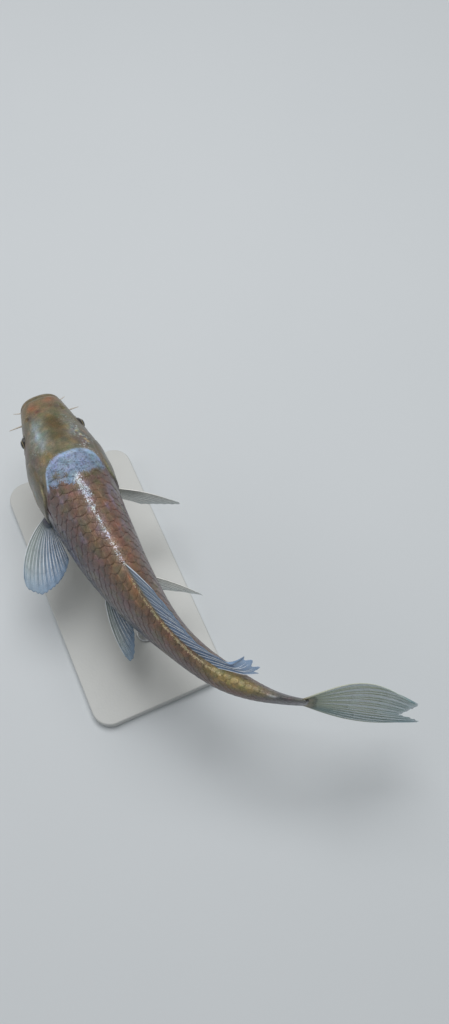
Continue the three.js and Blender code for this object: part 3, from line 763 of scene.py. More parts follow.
# %% [markdown]
# ## The skin
#
# One mesh covers the head, the gill covers, the trunk and the tail stalk, so no seam shows. It is a
# grid of rings along the body. At the snout they turn inwards and flatten into the slit of the closed
# mouth, and at the tail they shrink into the fin's root. Under the scales it lies 0.5 mm inside the CAD
# body, and the scales fill that depth.

# %% Mouth, body and tail root as one grid
MOUTH_RINGS = 10
TAIL_RINGS = 4
SLIT = {"half": 7.2, "up": -8.6, "bow": 0.05, "gap": 0.25}
# The lips roll in by a quarter circle over the first part of the way, and a straight slit follows.
LIP = {"part": 0.7, "roll": 2.2, "slit": 3.2}
mouth_angle = angle_at(0.0, row_places[:-1])
lip_across, lip_up = section(0.0, mouth_angle)
into = (np.arange(MOUTH_RINGS, 0, -1) / MOUTH_RINGS)[:, None]
slit_across = SLIT["half"] * np.cos(mouth_angle)
slit_up = SLIT["up"] - SLIT["bow"] * slit_across ** 2 + SLIT["gap"] * np.sin(mouth_angle)
rolled = np.pi / 2 * np.minimum(into / LIP["part"], 1)
closing = np.sin(rolled)
deeper = np.maximum(into - LIP["part"], 0) / (1 - LIP["part"])
depth = LIP["roll"] * (1 - np.cos(rolled)) + LIP["slit"] * deeper
mouth = place(depth / LENGTH, blend(lip_across, slit_across, closing), blend(lip_up, slit_up, closing))
mouth = mouth + (skin_points[0] - place(0.0, lip_across, lip_up)) * (1 - closing[..., None])
# The stalk ends in a short round edge: the tail fin's fleshy base comes out of it.
beyond = (np.arange(1, TAIL_RINGS + 1) / TAIL_RINGS)[:, None]
end_across, end_up = section(1.0, angle_at(1.0, row_places[:-1]))
tail_root = place(1 + 0.005 * beyond, end_across * np.sqrt(1 - (0.97 * beyond) ** 2),
                  end_up * (0.975 - 0.06 * beyond ** 2))
rings = np.concatenate([mouth, skin_points, tail_root])
print("rings of the skin:", len(rings))

# %% Colours and unwrap of the skin
skin_paint = markings(ring_s, ring_phi)
gill_rim = hump(ring_gill, 0.965, 0.02) * smooth(ring_above, 13, 21) * smooth(ring_behind, 2, 10)
lay(skin_paint, "rim", 0.3 * hump(ring_eye, 1.14, 0.06))
lay(skin_paint, "rim", 0.5 * gill_rim)
lay(skin_paint, "shadow", 0.95 * fall(ring_eye, 0.85, 1.04))
lay(skin_paint, "shadow", 0.6 * smooth(-skin_rise, 0.95, 1.5) * (ring_s < 0.24))
lay(skin_paint, "blood", 0.85 * smooth(-skin_rise, 0.9, 1.5) * (ring_s > 0.24))
mouth_paint = np.broadcast_to(skin_paint[0], mouth.shape).copy()
lay(mouth_paint, "gullet", smooth(into, 0.45, 0.8))


def on_all_rings(mouth, body, tail):
    """Values for every point of the skin, from those of its parts. A pole takes the value beside it."""
    parts = ((mouth, MOUTH_RINGS), (body, len(stations)), (tail, TAIL_RINGS))
    whole = np.concatenate([np.broadcast_to(part, (count, SIDES, 3)) for part, count in parts]).reshape(-1, 3)
    return np.concatenate([whole, whole[[0, -1]]])


def wrap_v(turn):
    """Place round the unwrap, from a part of the whole turn round the body."""
    return 0.98 * turn + 0.01


# The skin is unwrapped in its own shape: along the rings one way and round them the other.
wrap_u = np.linspace(0.01, 0.99, len(rings))
low, high = wrap_v(np.arange(SIDES) / SIDES), wrap_v(np.arange(1, SIDES + 1) / SIDES)
before, after = wrap_u[:-1, None], wrap_u[1:, None]
skin_uv = [
    [(before, low), (before, high), (after, high), (after, low)],
    [(wrap_u[0], high), (wrap_u[0], low), (0.0, (low + high) / 2)],
    [(wrap_u[-1], low), (wrap_u[-1], high), (1.0, (low + high) / 2)],
]
skin_uv = [np.stack([np.stack(np.broadcast_arrays(*corner), -1) for corner in part], -2).reshape(-1, 2)
           for part in skin_uv]
new_piece(
    "fish_skin", *closed_rings(rings), head_skin, "head_skin",
    nodes=("head", "gill_cover_left", "gill_cover_right", "trunk_front", "trunk_rear", "tail_stalk"),
    uv=np.concatenate(skin_uv), paint=on_all_rings(mouth_paint, skin_paint, skin_paint[-1]),
    marks=on_all_rings(NO_MARKS, signed_marks(ring_s, ring_phi), NO_MARKS),
    specks=on_all_rings(NO_SPECKS, speck_masks(ring_s, ring_phi), NO_SPECKS),
)

# %% [markdown]
# ## The scales
#
# A carp has large round scales, 37 along its side here, each a thin bone plate whose front half is set
# in the skin under its neighbours and whose rear edge is free. Instances of one scale would leave gaps
# at the narrow tail and are lost when the model is exported. Here every scale is a closed plate. A
# staggered grid gives each its root, and its own two parameters, across and along, are carried onto the
# body by the skin's surface function. So the scales bend with the body and shrink to the tail.

# %% One scale's outline and lie
ALONG = np.array([0, 0.4, 0.72, 0.9, 1.0])
ACROSS = np.sin(np.linspace(-np.pi / 2, np.pi / 2, 7))
SCALE = {"thick": 0.09, "front pitch": 7.3, "rear pitch": 5.2, "pitches long": 2.05, "rows wide": 0.82}
along, across = np.meshgrid(ALONG, ACROSS, indexing="ij")
# The free edge is half an ellipse, so the points stand closer together toward its sides.
plate_width = np.interp(along, ALONG, [0.74, 1, 1, 1, 1]) * across
plate_length = along * (0.6 + 0.4 * np.sqrt(1 - across ** 2))
plate_rim = np.maximum(np.abs(across) ** 3, along ** 2)
border = border_of(np.arange(along.size).reshape(along.shape))
low_ring = along.size + np.arange(len(border))
per_scale = along.size + len(border) + 1
one_scale = [grid_faces(*along.shape), rim_faces(border, low_ring),
             cap_faces(low_ring, per_scale - 1, turned=True)]
print("faces on one scale:", sum(len(part) for part in one_scale))

# %% Roots of all scales
rng = np.random.default_rng(7)
walk = np.linspace(0.2, 1.0, 4001)
pitch = blend(SCALE["front pitch"], SCALE["rear pitch"], smooth(walk, 0.55, 0.95))
lattice = np.cumsum(LENGTH * (walk[1] - walk[0]) / pitch)
root_row, root_step = (part.ravel() for part in np.meshgrid(np.arange(ROWS), np.arange(60), indexing="ij"))
root_s = np.interp(root_step + 0.5 * (root_row % 2), lattice, walk, right=2.0)
root_pitch = np.interp(root_s, walk, pitch)
# The last plates are cut short by the tail fin, and none stands where a middle fin grows.
reach = np.minimum(SCALE["pitches long"] * root_pitch / LENGTH, 0.9985 - root_s)
tip_s = root_s + reach
under_fin = ((root_row == 0) & (tip_s > 0.53) & (root_s < 0.79)) | (
    (root_row == 14) & (tip_s > 0.752) & (root_s < 0.81))
keep = (root_s > scale_edge(phi_at(root_s, root_row)) - 0.02) & (root_s < 0.984) & ~under_fin
root_s, root_row, root_pitch, reach = (
    part[keep][:, None, None] for part in (root_s, root_row.astype(float), root_pitch, reach))
scales = len(root_s)
print("scales:", scales)

# %% Carry the plates onto the body
size_each = rng.uniform(0.96, 1.04, root_s.shape)
yaw = rng.normal(0, 0.03, root_s.shape)
lift = rng.normal(0, 0.015, root_s.shape)
scale_s = root_s + reach * plate_length * size_each
scale_row = root_row + SCALE["rows wide"] * plate_width * size_each + yaw * plate_length
# From its root in the skin each plate climbs over its neighbours, crowned across. Those of the
# lateral line carry a small pore tube.
crown = 0.05 * across ** 2 * along
pore = np.isin(root_row, (7, 21)) * 0.22 * hump(across, 0, 0.2) * hump(along, 0.75, 0.2)
top_height = -COAT - 0.1 + (COAT + 0.12 + lift) * (1 - (1 - along) ** 2) - crown + pore
low_height = top_height - pore - SCALE["thick"] * (0.5 + 0.5 * along)
scale_top, scale_low = (on_body(scale_s, scale_row, height).reshape(scales, -1, 3)
                        for height in (top_height, low_height))
scale_low = scale_low[:, border]
scale_points = np.concatenate([scale_top, scale_low, scale_low.mean(1, keepdims=True)], 1)
coat_faces = copied(one_scale, scales, per_scale)
print("points of the coat:", scale_points.size // 3)


def per_point(*parts):
    """Spreads values on the top grids over each scale's rim and underside, one row for each point."""
    value = np.stack(np.broadcast_arrays(*parts, root_s + along)[:-1], -1).reshape(scales, along.size, -1)
    return np.concatenate([value, value[:, border], value.mean(1, keepdims=True)], 1).reshape(-1, len(parts))


# %% Colours and unwrap of the coat
# A scale mostly takes one colour, that of the skin near its middle.
dye_s = blend(scale_s, root_s + 1.4 * root_pitch / LENGTH, 0.12)
dye_phi = phi_at(dye_s, blend(scale_row, root_row, 0.12))
dyes = markings(dye_s, dye_phi)
# On the flanks the pattern of a net shows: each scale is dark at its root and pale at its free edge,
# and the flanks darken as a whole, partly painted shade for the sides. Under the free edge in front a
# scale lies in a narrow shadow, and a painted highlight band there softens it.
flank_share = smooth(np.abs(off_ridge(dye_phi)), 42, 75)
shade = (1 + flank_share * (0.55 * along ** 2 - 0.52)) * (1 + 0.35 * hump(along, 0.4, 0.2))
# A scale's rim and underside are painted 2.3 times paler than its top: painted light that lifts the shade on
# these walls at the free edge.
painted_edge_light = np.tile(np.repeat([1.0, 2.3], [along.size, len(border) + 1]), scales)[:, None]
scale_phi = phi_at(scale_s, scale_row)
chance = rng.uniform(0, 1, root_s.shape)
# Each scale is a patch 0.003 across at its root's place on the unwrap of the skin.
PATCH = 0.0015
patch_u = np.interp(root_s, stations, wrap_u[MOUTH_RINGS:-TAIL_RINGS])
patch = per_point(patch_u + PATCH * (2 * along - 1), wrap_v(root_row / ROWS) + PATCH * across)
# Flat rims and undersides keep each plate's top evenly lit right up to its edge.
new_piece(
    "scale_coat", scale_points, coat_faces, scale_skin, "body_skin", rounded=[True, False, False],
    uv=np.concatenate([patch[part.ravel()] for part in coat_faces]),
    paint=painted_edge_light * per_point(*np.moveaxis(dyes * shade[..., None], -1, 0)),
    marks=per_point(*np.moveaxis(signed_marks(scale_s, scale_phi), -1, 0)),
    specks=per_point(*np.moveaxis(speck_masks(scale_s, scale_phi), -1, 0)),
    plate=per_point(across, along, chance, plate_rim),
)

# %% [markdown]
# ## The eyes
#
# A fish's eye has no lids. A round lens bulges out through the iris, a thin metallic ring edges the
# pupil, and the whole is wet. A sphere with a painted disc would look flat close up. This ball is
# turned about the eye's own axis, and its radius carries the relief. A clear coat is the cornea.

# %% Eye material and mesh
EYE_RINGS = 40
EYE_SIDES = 64
EYE_BANDS = [(0.0, "#07080a"), (0.64, "#08090b"), (0.66, "#b9aa7c"), (0.69, "#a08d60"), (0.72, "#3a3228"),
             (0.9, "#26221f"), (1.0, "#4a4640")]
eye_gloss, add = new_material("wet_eye")
zone = add("Attribute zone").outputs["Fac"]
# Fibres of the iris, 0.7 mm apart, ruffle the edges of its rings.
fibres = add("TexNoise", add("TexCoord").outputs["Object"], 1400.0, 3.0)
bands = add("ValToRGB", add("Math MULTIPLY_ADD", fibres, 0.05, zone))
while len(bands.color_ramp.elements) < len(EYE_BANDS):
    bands.color_ramp.elements.new(0.5)
for stop, (position, code) in zip(bands.color_ramp.elements, EYE_BANDS):
    stop.position = position
    stop.color = (*colour(code), 1.0)
finish(add, bands, None, 0.25, 1.38, (1.0, 0.03, 1.38), Metallic=add("MapRange", zone, 0.64, 0.67, 0.0, 0.4))

# Polar angle from the outward axis in rings, and a turn round that axis in sides.
tilt = np.pi * (np.arange(1, EYE_RINGS) / EYE_RINGS)[:, None] ** 1.15
turn = 2 * np.pi * np.arange(EYE_SIDES) / EYE_SIDES
far = np.sin(tilt) * np.where(tilt < np.pi / 2, 1, 2 - np.sin(tilt))
relief = 0.45 * fall(far, 0.45, 0.66) - 0.2 * hump(far, 0.74, 0.09)
zones = np.concatenate([np.repeat(np.minimum(far[:, 0], 1), EYE_SIDES), [0.0, 1.0]])
_, aft, left, upward = frame_at(EYE["s"])
wheel = aft * np.cos(turn)[:, None] + upward * np.sin(turn)[:, None]
out = ((EYE["depth"] + relief) * np.cos(tilt))[..., None]
radial = ((EYE["radius"] - 0.15) * np.sin(tilt))[..., None]
for side, word in SIDE_WORDS:
    centre = place(EYE["s"], side * EYE["across"], EYE["up"])
    poles = centre + left * side * np.array([[EYE["depth"] + 0.4], [-EYE["depth"]]])
    points, faces = closed_rings(centre + left * side * out + wheel * radial, poles)
    new_piece(f"eye_ball_{word}", points, [part[:, ::side] for part in faces], eye_gloss, "eye",
              nodes=(f"eye_{word}",), zone=zones)

# %% [markdown]
# ## The barbels
#
# Two pairs of soft feelers hang from a carp's upper lip: a short pair above and a longer one at the
# mouth's corners. A bevelled curve could make them; a profile of radii along a curve given by a few
# sizes in millimetres keeps them in place and lets the root flare into the skin.

# %% Barbels
# Soft wet flesh is pale and mottled every 1.4 mm, with small pores and a weak gloss.
feeler_skin = two_tone("wet_feeler_flesh", "#b0a698", "#ddd6cb", (700.0, 3.0), (700.0, 3.0, 0.4, 0.0002),
                       0.4, ior=1.4, coat=(0.4, 0.15))
BARBELS = {
    "lip": {"s": 0.022, "across": 13, "up": -9, "reach": 10, "sweep": -3, "droop": 1, "radius": 0.75},
    "corner": {"s": 0.046, "across": 16, "up": -14, "reach": 15, "sweep": -2, "droop": 4, "radius": 0.95},
}
BARBEL_SIDES = 16
BURIED = 0.16
t = np.linspace(-BURIED, 1, 36)
turn = 2 * np.pi * np.arange(BARBEL_SIDES)[:, None] / BARBEL_SIDES
# Taper, a flare at the root, faint rings of flesh and a round tip.
thin = (1 - 0.72 * np.clip(t, 0, 1)) * (1 + 0.9 * hump(t, -BURIED, 0.14)) * (1 + 0.05 * np.sin(t * 70))
thin = thin * np.sqrt(1 - np.clip((t - 0.97) / 0.0301, 0, 1) ** 2)
for kind, barbel in BARBELS.items():
    for side, word in SIDE_WORDS:
        _, aft, left, upward = frame_at(barbel["s"])
        start = place(barbel["s"], side * barbel["across"], barbel["up"])
        bend = aft * barbel["sweep"] - upward * barbel["droop"]
        path = start + left * side * barbel["reach"] * t[:, None] + bend * (t * np.abs(t))[:, None]
        # Each ring is square to the path and starts toward the tail.
        along = unit(np.gradient(path, axis=0))
        second = unit(np.cross(along, aft))
        wheel = np.cross(second, along)[:, None] * np.cos(turn) - second[:, None] * np.sin(turn)
        tube = path[:, None] + wheel * barbel["radius"] * thin[:, None, None]
        new_piece(f"feeler_{kind}_{word}", *closed_rings(tube), feeler_skin, "feeler",
                  nodes=(f"barbel_{kind}_{word}",))

# %% [markdown]
# ## The fins
#
# A carp's fin is a clear membrane over soft rays, jointed rods that fork twice toward their tips; only
# the first and last stay whole. A flat sheet with painted lines would lose this from the side. Each fin
# is three pieces made from one grid of points over (t, r), with t from the front ray to the rear one
# and r from root to tip: a thin pleated membrane, the rays as tapered strands, and the fleshy base.

# %% Where a fin lies
FIN_STEPS = 80
FIN_COLUMNS = 161


def fan(root, length, out, rise, side=1, lean=None):
    """Points of a fan over (t, r). Ray t starts at root(t) and steps on: out is its angle from straight
    aft toward the fish's side, rise its angle above level, and length its whole length."""
    t = np.linspace(0, 1, FIN_COLUMNS)
    s, across, up = (part + 0 * t for part in root(t))
    _, aft, left, upward = frame_at(s, None if lean is None else lean(t))
    r = (np.arange(FIN_STEPS) + 0.5) / FIN_STEPS
    turn, climb = (np.radians(angle(t[:, None], r) + 0 * t[:, None] * r)[..., None] for angle in (out, rise))
    step = (aft[:, None] * np.cos(climb) * np.cos(turn) + left[:, None] * side * np.cos(climb) * np.sin(turn)
            + upward[:, None] * np.sin(climb))
    start = place(s, side * across, up)[:, None]
    reach = np.cumsum(step, axis=1) * (length(t) / FIN_STEPS)[:, None, None]
    return np.concatenate([start, start + reach], 1)


def facing(grid):
    """Unit normals of a grid: a step along r crossed with a step along t."""
    return unit(np.cross(np.gradient(grid, axis=1), np.gradient(grid, axis=0)))


def line(*ends):
    """A root whose s, across and up each run evenly from the first ray's value to the last one's."""
    return lambda t: tuple(blend(first, last, t) for first, last in ends)


def corners(first, last, first_tip=None, last_tip=None):
    """An angle that runs evenly from the first ray to the last at the roots, and so at the tips."""
    first_tip, last_tip = (first, last) if first_tip is None else (first_tip, last_tip)
    return lambda t, r: blend(blend(first, last, t), blend(first_tip, last_tip, t), r)


print("points of each fin's grid:", FIN_COLUMNS, "by", FIN_STEPS + 1)

# %% Shapes of the fins
dorsal_length = curve_through([(0, 42), (0.15, 44), (0.4, 36), (0.6, 29), (0.72, 31), (0.8, 36), (0.86, 42),
                               (0.93, 43), (1, 36)])
dorsal_spread = curve_through([(0, 0), (0.78, 0), (0.86, 60), (0.93, 42), (1, 22)])
dorsal_lean = curve_through([(0, 11), (0.6, 20), (0.85, 60), (1, 70)])
pectoral_length = curve_through([(0, 58), (0.12, 65), (0.3, 66), (0.5, 59), (0.75, 47), (1, 34)])
pelvic_length = curve_through([(0, 57), (0.12, 61), (0.3, 57), (0.5, 48), (0.75, 38), (1, 28)])
upper_lobe = curve_through([(0, 85), (0.25, 88), (0.6, 80), (1, 73)])
lower_lobe = curve_through([(0, 95), (0.25, 99), (0.6, 88), (1, 73)])
pectoral_root = line((0.266, 0.282), (28.5, 28.5), (-27, -33))
pelvic_root = line((0.478, 0.494), (14.5, 11), (-38, -41))


def dorsal_root(t):
    """A line just under the ridge."""
    s = blend(0.527, 0.798, t)
    return s, 0, back(s) - 2


def anal_root(t):
    """A line just inside the belly."""
    s = blend(0.752, 0.813, t)
    return s, 0, belly(s) + 2


def dorsal_rise(t, r):
    """The tips of the last rays spread and lift."""
    return blend(32, 22, smooth(t, 0.55, 0.85)) - 8 * r + dorsal_spread(t) * smooth(r, 0.55, 0.85)


def tail_length(t):
    """The lower lobe's table from its edge to the fork, then the upper one's from the fork to its edge."""
    return np.where(t > 0.5, upper_lobe(2 - 2 * t), lower_lobe(2 * t))


def tail_turn(t, r):
    """The upper lobe swings to the right and its tip drags behind, the lower one lies straighter."""
    upper, edge = t > 0.5, np.abs(2 * t - 1)
    return np.where(upper, -12, -1) * edge + blend(3, np.where(upper, 44, -10), edge) * smooth(r, 0.35, 1)


def tail_rise(t, r):
    """Rays spread up and down from the middle, more at their roots than at their tips."""
    upper, edge = t > 0.5, np.abs(2 * t - 1)
    return np.where(upper, 1, -1) * blend(blend(1, np.where(upper, 52, 44), edge), 1 - edge, r)


# Each fin's tone, number of rays, the base's part of their length and its thickness in mm, and its fan.
FINS = {
    "dorsal_fin": ("back", 20, 0.09, 2.4, fan(
        dorsal_root, dorsal_length, corners(0, 0), dorsal_rise, lean=dorsal_lean)),
    "anal_fin": ("fin", 8, 0.14, 2.4, fan(
        anal_root, lambda t: blend(36, 20, t ** 0.8), corners(0, 0), corners(-46, -30, -36, -20))),
    "pectoral_fin_left": ("fin", 16, 0.17, 3.4, fan(
        pectoral_root, pectoral_length, corners(67, -8, 17, 2), corners(-6, -10))),
    # The right fins take a paler copy of the fin tone: painted light for their shaded side.
    "pectoral_fin_right": ("lifted", 16, 0.17, 3.4, fan(
        pectoral_root, lambda t: 0.89 * pectoral_length(t), corners(62, 78, 44, 68),
        corners(0, -44, -3, -44), -1)),
    "pelvic_fin_left": ("fin", 9, 0.17, 3.4, fan(
        pelvic_root, pelvic_length, corners(28, -6, -3, -4), corners(-10, -16))),
    "pelvic_fin_right": ("lifted", 9, 0.17, 3.4, fan(
        pelvic_root, lambda t: 0.97 * pelvic_length(t), corners(54, 64, 36, 60), corners(-15, -54), -1)),
    "tail_fin": ("tail", 20, 0.17, 4.3, fan(
        line((0.99, 0.99), (0, 0), (-17, 17)), tail_length, tail_turn, tail_rise, lean=lambda t: 5)),
}
for name, (*_, grid) in FINS.items():
    print(name, "longest ray", np.linalg.norm(grid[:, -1] - grid[:, 0], axis=-1).max().round(1), "mm")

# %% Fin materials
# Colours of the root, the front and the rest of the web, the edge and the rays. fold is the height of
# the folds in mm, and dip how deep the edge dips between two rays as a part of their length.
TONES = {
    "fin": {"codes": "#7a7f88 #98a6a5 #6a8aad #86a6c6 #f2f7fc", "alpha": 0.55, "fold": 0.22, "dip": 0.012},
    # The right fins face away from the lamps, so they take a paler copy of the fin colours, with a lower
    # alpha: painted light.
    "lifted": {"codes": "#b3b2a8 #d8dad4 #c3cdd0 #d4dee0 #fafaf5", "alpha": 0.45, "fold": 0.15, "dip": 0.01},
    "back": {"codes": "#b2a583 #8299b2 #7393ba #90adcd #f0f6fc", "alpha": 0.6, "fold": 0.22, "dip": 0.01},
    "tail": {"codes": "#90896f #648894 #6f8f92 #7fa4b2 #c6ccb8", "alpha": 0.4, "fold": 0.35, "dip": 0.006},
}
# A ray of usual length has a fine cross joint every so many mm.
JOINT, USUAL_RAY = 1.3, 60


def fin_material(name, joints, bumps, ior, coat, **more):
    """The painted colour, shaded by the rays' cross joints or by the web's mottling, 4 mm across."""
    material, add = new_material(name)
    if joints:
        turns = add("Math MULTIPLY", add("Attribute way").outputs["Fac"], 2 * np.pi / JOINT)
        height = shade = add("MapRange", add("Math SINE", turns), 0.7, 1.0, 1.0, 0.82)
    else:
        height = add("TexNoise", add("TexCoord").outputs["Object"], 260.0, 4.0)
        shade = add("MapRange", height, 0.3, 0.7, 0.82, 1.16)
    tone = add("VectorMath SCALE", add("Attribute paint"), shade)
    finish(add, tone, (height, *bumps), 0.5, ior, coat, **more)
    return material


# Clear wet membrane is evenly see-through, and bony rays are pale and satin.
WEBS = {kind: fin_material(f"wet_{kind}_membrane", False, (0.4, 0.0004), 1.34, (0.12, 0.15),
                           Alpha=tone["alpha"]) for kind, tone in TONES.items()}
RAYS = {kind: fin_material(f"bony_{kind}_ray", True, (0.5, 0.0002), 1.4, (0.15, 0.15)) for kind in TONES}
print("fin materials:", *(look.name for look in (*WEBS.values(), *RAYS.values())))


def fin_paint(kind, t, r, ray=False):
    """Root, web and edge colours in turn along a ray. The front of the web has its own tint, and the
    rays are palest toward the rear."""
    root, front, web, edge, bone = (colour(code) for code in TONES[kind]["codes"].split())
    t, r = t[..., None], r[..., None]
    tone = blend(front, web, smooth(t, 0.1, 0.6))
    if ray:
        first = fall(t, 0.0, 0.04) * (kind != "back")
        tone = blend(tone, bone, 0.5 + 0.5 * np.maximum(smooth(t, 0.15, 0.5), first))
    tone = blend(root, tone, smooth(r, 0.0, 0.2))
    return blend(tone, edge, (0.4 if ray else 0.7) * smooth(r, 0.6, 1.0)).reshape(-1, 3)


# %% [markdown]
# ## One fin from its grid
#
# The rays lie by turns on one side of the fan and the other, so the membrane between them is pleated.
# All three pieces read the same pleated surface, which keeps the rays in their folds.

# %% Membranes, rays and fleshy bases
RAY_SIDES = 6
RAY_STEPS = 10
rng = np.random.default_rng(11)


def thin_plate(middle, thick):
    """Points and faces of a closed plate round a grid of middle points."""
    half = facing(middle) * thick[..., None] / 2
    points = np.concatenate([(middle + half).reshape(-1, 3), (middle - half).reshape(-1, 3)])
    faces = grid_faces(*thick.shape)
    border = border_of(np.arange(thick.size).reshape(thick.shape))
    return points, [faces, (faces + thick.size)[:, ::-1], rim_faces(border, border + thick.size)]


def strand_table(rays):
    """Strands of the rays as (t at root, t at tip, r at root, r at tip, radius at root, radius at tip):
    one rod to r 0.45, two to 0.72 and four to the tip. The first and last rays don't fork."""
    centre = np.arange(rays) / (rays - 1)
    gap = 1 / (rays - 1)
    stiff, soft = centre[[0, -1]], centre[1:-1]
    strands = [(centre, centre, 0, 0.47, 0.6, 0.42), (stiff, stiff, 0.45, 0.995, 0.38, 0.16)]
    for fork in (-1, 1):
        branch = soft + 0.13 * fork * gap
        strands.append((soft, branch, 0.44, 0.74, 0.35, 0.26))
        for twig in (-1, 1):
            tip = soft + (0.2 * fork + 0.09 * twig) * gap
            strands.append((branch, tip, 0.71, rng.uniform(0.97, 1.0, len(soft))[:, None], 0.22, 0.1))
    return strands


def build_fin(name, tone, rays, base, stout, grid):
    """The membrane, the fleshy base and the rays of one fin."""
    normals = facing(grid)
    is_tail = name == "tail_fin"
    nodes = ("tail_fin_upper", "tail_fin_lower") if is_tail else (name,)
    slot = "tail_fin" if is_tail else "fin"

    def normal(t, r):
        """The fan's direction across itself."""
        return read_grid(normals, t * (FIN_COLUMNS - 1), r * FIN_STEPS)

    def surface(t, r):
        """A point on the pleated fin; the folds deepen toward the tip."""
        pleat = TONES[tone]["fold"] * np.cos(np.pi * (rays - 1) * t) * smooth(r, 0.05, 0.5)
        return read_grid(grid, t * (FIN_COLUMNS - 1), r * FIN_STEPS) + normal(t, r) * pleat[..., None]

    # Membrane: its edge dips between the rays and is a little ragged. The last rays of the dorsal fin
    # stand apart like fingers.
    t, r = np.meshgrid(np.linspace(0, 1, 10 * (rays - 1) + 1), np.linspace(0, 1, 41), indexing="ij")
    ragged_edge = np.interp(t, np.linspace(0, 1, 3 * rays), rng.uniform(-0.006, 0.006, 3 * rays))
    dip = TONES[tone]["dip"] + 0.1 * smooth(t, 0.8, 0.9) * (tone == "back")
    reach = r * np.minimum(0.99 - dip * np.sin(np.pi * (rays - 1) * t) ** 2 + ragged_edge, 1)
    points, faces = thin_plate(surface(t, reach), blend(0.9, 0.25, smooth(r, 0, 0.7)))
    new_piece(f"{name}_membrane", points, faces, WEBS[tone], slot, nodes=nodes,
              paint=np.tile(fin_paint(tone, t, reach), (2, 1)))
    # Fleshy base: it grows thick out of the body, thins to a rounded edge, and runs out further along
    # each ray than between two of them.
    t, r = np.meshgrid(np.linspace(0, 1, 6 * (rays - 1) + 1), np.linspace(0, 1, 17), indexing="ij")
    deep = r * base * (0.85 - 0.25 * np.abs(2 * t - 1) ** 3 + 0.15 * np.cos(2 * np.pi * (rays - 1) * t))
    oval = np.sqrt(1 - 0.64 * (2 * t - 1) ** 2)
    points, faces = thin_plate(surface(t, deep), blend(stout * oval, 0.7, r ** 0.6))
    new_piece(f"{name}_base", points, faces, fin_root_skin, slot,
              paint=np.tile(fin_paint(tone, t, 0.5 * deep), (2, 1)),
              marks=np.tile(NO_MARKS, (len(points), 1)), specks=np.tile(NO_SPECKS, (len(points), 1)))
    # Rays: every strand is a tube with flattened sides, and both its poles lie on its path.
    step = np.linspace(0, 1, RAY_STEPS)
    turn = 2 * np.pi * np.arange(RAY_SIDES)[:, None] / RAY_SIDES
    per = RAY_STEPS * RAY_SIDES + 2
    points, faces, paints, ways, count = [], [], [], [], 0
    for t0, t1, r0, r1, wide0, wide1 in strand_table(rays):
        ray_t = blend(t0[:, None], t1[:, None], step ** 1.3)
        ray_r = blend(r0, r1, step) + 0 * ray_t
        size = blend(wide0, wide1, step) * (1 - 0.9 * smooth(step, 0.96, 1.0) * (wide1 < 0.2))
        path, up = surface(ray_t, ray_r), normal(ray_t, ray_r)
        flat = 0.8 * np.cross(unit(np.gradient(path, axis=1)), up)
        ring = up[:, :, None] * np.cos(turn) - flat[:, :, None] * np.sin(turn)
        tube = path[:, :, None] + ring * size[:, None, None]
        points.append(np.concatenate([tube.reshape(len(t0), -1, 3), path[:, [0, -1]]], 1).reshape(-1, 3))
        faces += copied(ring_faces(RAY_STEPS, RAY_SIDES), len(t0), per, count)
        all_t, all_r = (np.concatenate([np.repeat(part, RAY_SIDES, axis=1), part[:, [0, -1]]], 1)
                        for part in (ray_t, ray_r))
        paints.append(fin_paint(tone, all_t, all_r, ray=True))
        ways.append((all_r * USUAL_RAY).ravel())
        count += len(points[-1])
    new_piece(f"{name}_rays", np.concatenate(points), faces, RAYS[tone], slot,
              paint=np.concatenate(paints), way=np.concatenate(ways))


for name, fin in FINS.items():
    build_fin(name, *fin)

# %% [markdown]
# ## The display stand
#
# The stand is a steel plate with a satin powder coat and two brushed rods. Powder coat melts into a
# film with a faint orange-peel ripple, and brushing leaves fine lines round a rod. The CAD plate has
# faceted corners, so a smooth plate and smooth rods of the same sizes stand for it.

# %% Stand materials
# The coat has clouds 55 mm across and ripples of 2 mm; the brush lines are 0.1 mm apart round the rod.
powder_coat = two_tone("satin_powder_coat", "#bfc1bf", "#cdcecb", (18.0, 3.0), (500.0, 2.0, 0.25, 0.0003),
                       0.48)
brushed_steel = two_tone("brushed_stainless_steel", "#a9abad", "#c9cacb", (1.0, 3.0),
                         (1.0, 3.0, 0.3, 0.00005), 0.3, stretch=(60.0, 60.0, 9000.0), Metallic=1.0)
print("stand materials:", powder_coat.name, brushed_steel.name)

# %% Base plate
BASE = {"length": 240.0, "width": 116.0, "thick": 10.0, "corner": 16.0, "bevel": 1.2}
BEVEL_STEPS = 6
CORNER_STEPS = 17


def upright(centre_x, centre_y, reach, turn, level):
    """Rings of points at a reach from a centre in the direction turn, each ring at its own level."""
    reach, level = reach[:, None], level[:, None]
    return np.stack(np.broadcast_arrays(centre_x + reach * np.cos(turn), centre_y + reach * np.sin(turn),
                                        level + ORIGIN[2]), -1)


# The outline is four quarter circles joined by straights; a quarter-circle bevel draws it in at the
# bottom and at the top.
quarter = np.radians(np.linspace(-90, 0, BEVEL_STEPS))
inset = BASE["bevel"] * (1 - np.cos(quarter))
climb = BASE["bevel"] * (1 + np.sin(quarter))
turn = np.radians(np.arange(4)[:, None] * 90 + np.linspace(0, 90, CORNER_STEPS)).ravel()
half = np.array([BASE["length"], BASE["width"]]) / 2 - BASE["corner"]
corner_x, corner_y = (np.repeat(signs, CORNER_STEPS) * size + middle for signs, size, middle in
                      zip(([1, -1, -1, 1], [1, 1, -1, -1]), half, ORIGIN))
plate_rings = upright(corner_x, corner_y, BASE["corner"] - np.concatenate([inset, inset[::-1]]), turn,
                      np.concatenate([climb, BASE["thick"] - climb[::-1]]))
new_piece("stand_plate", *closed_rings(plate_rings), powder_coat, "stand_paint", nodes=("stand_base",))

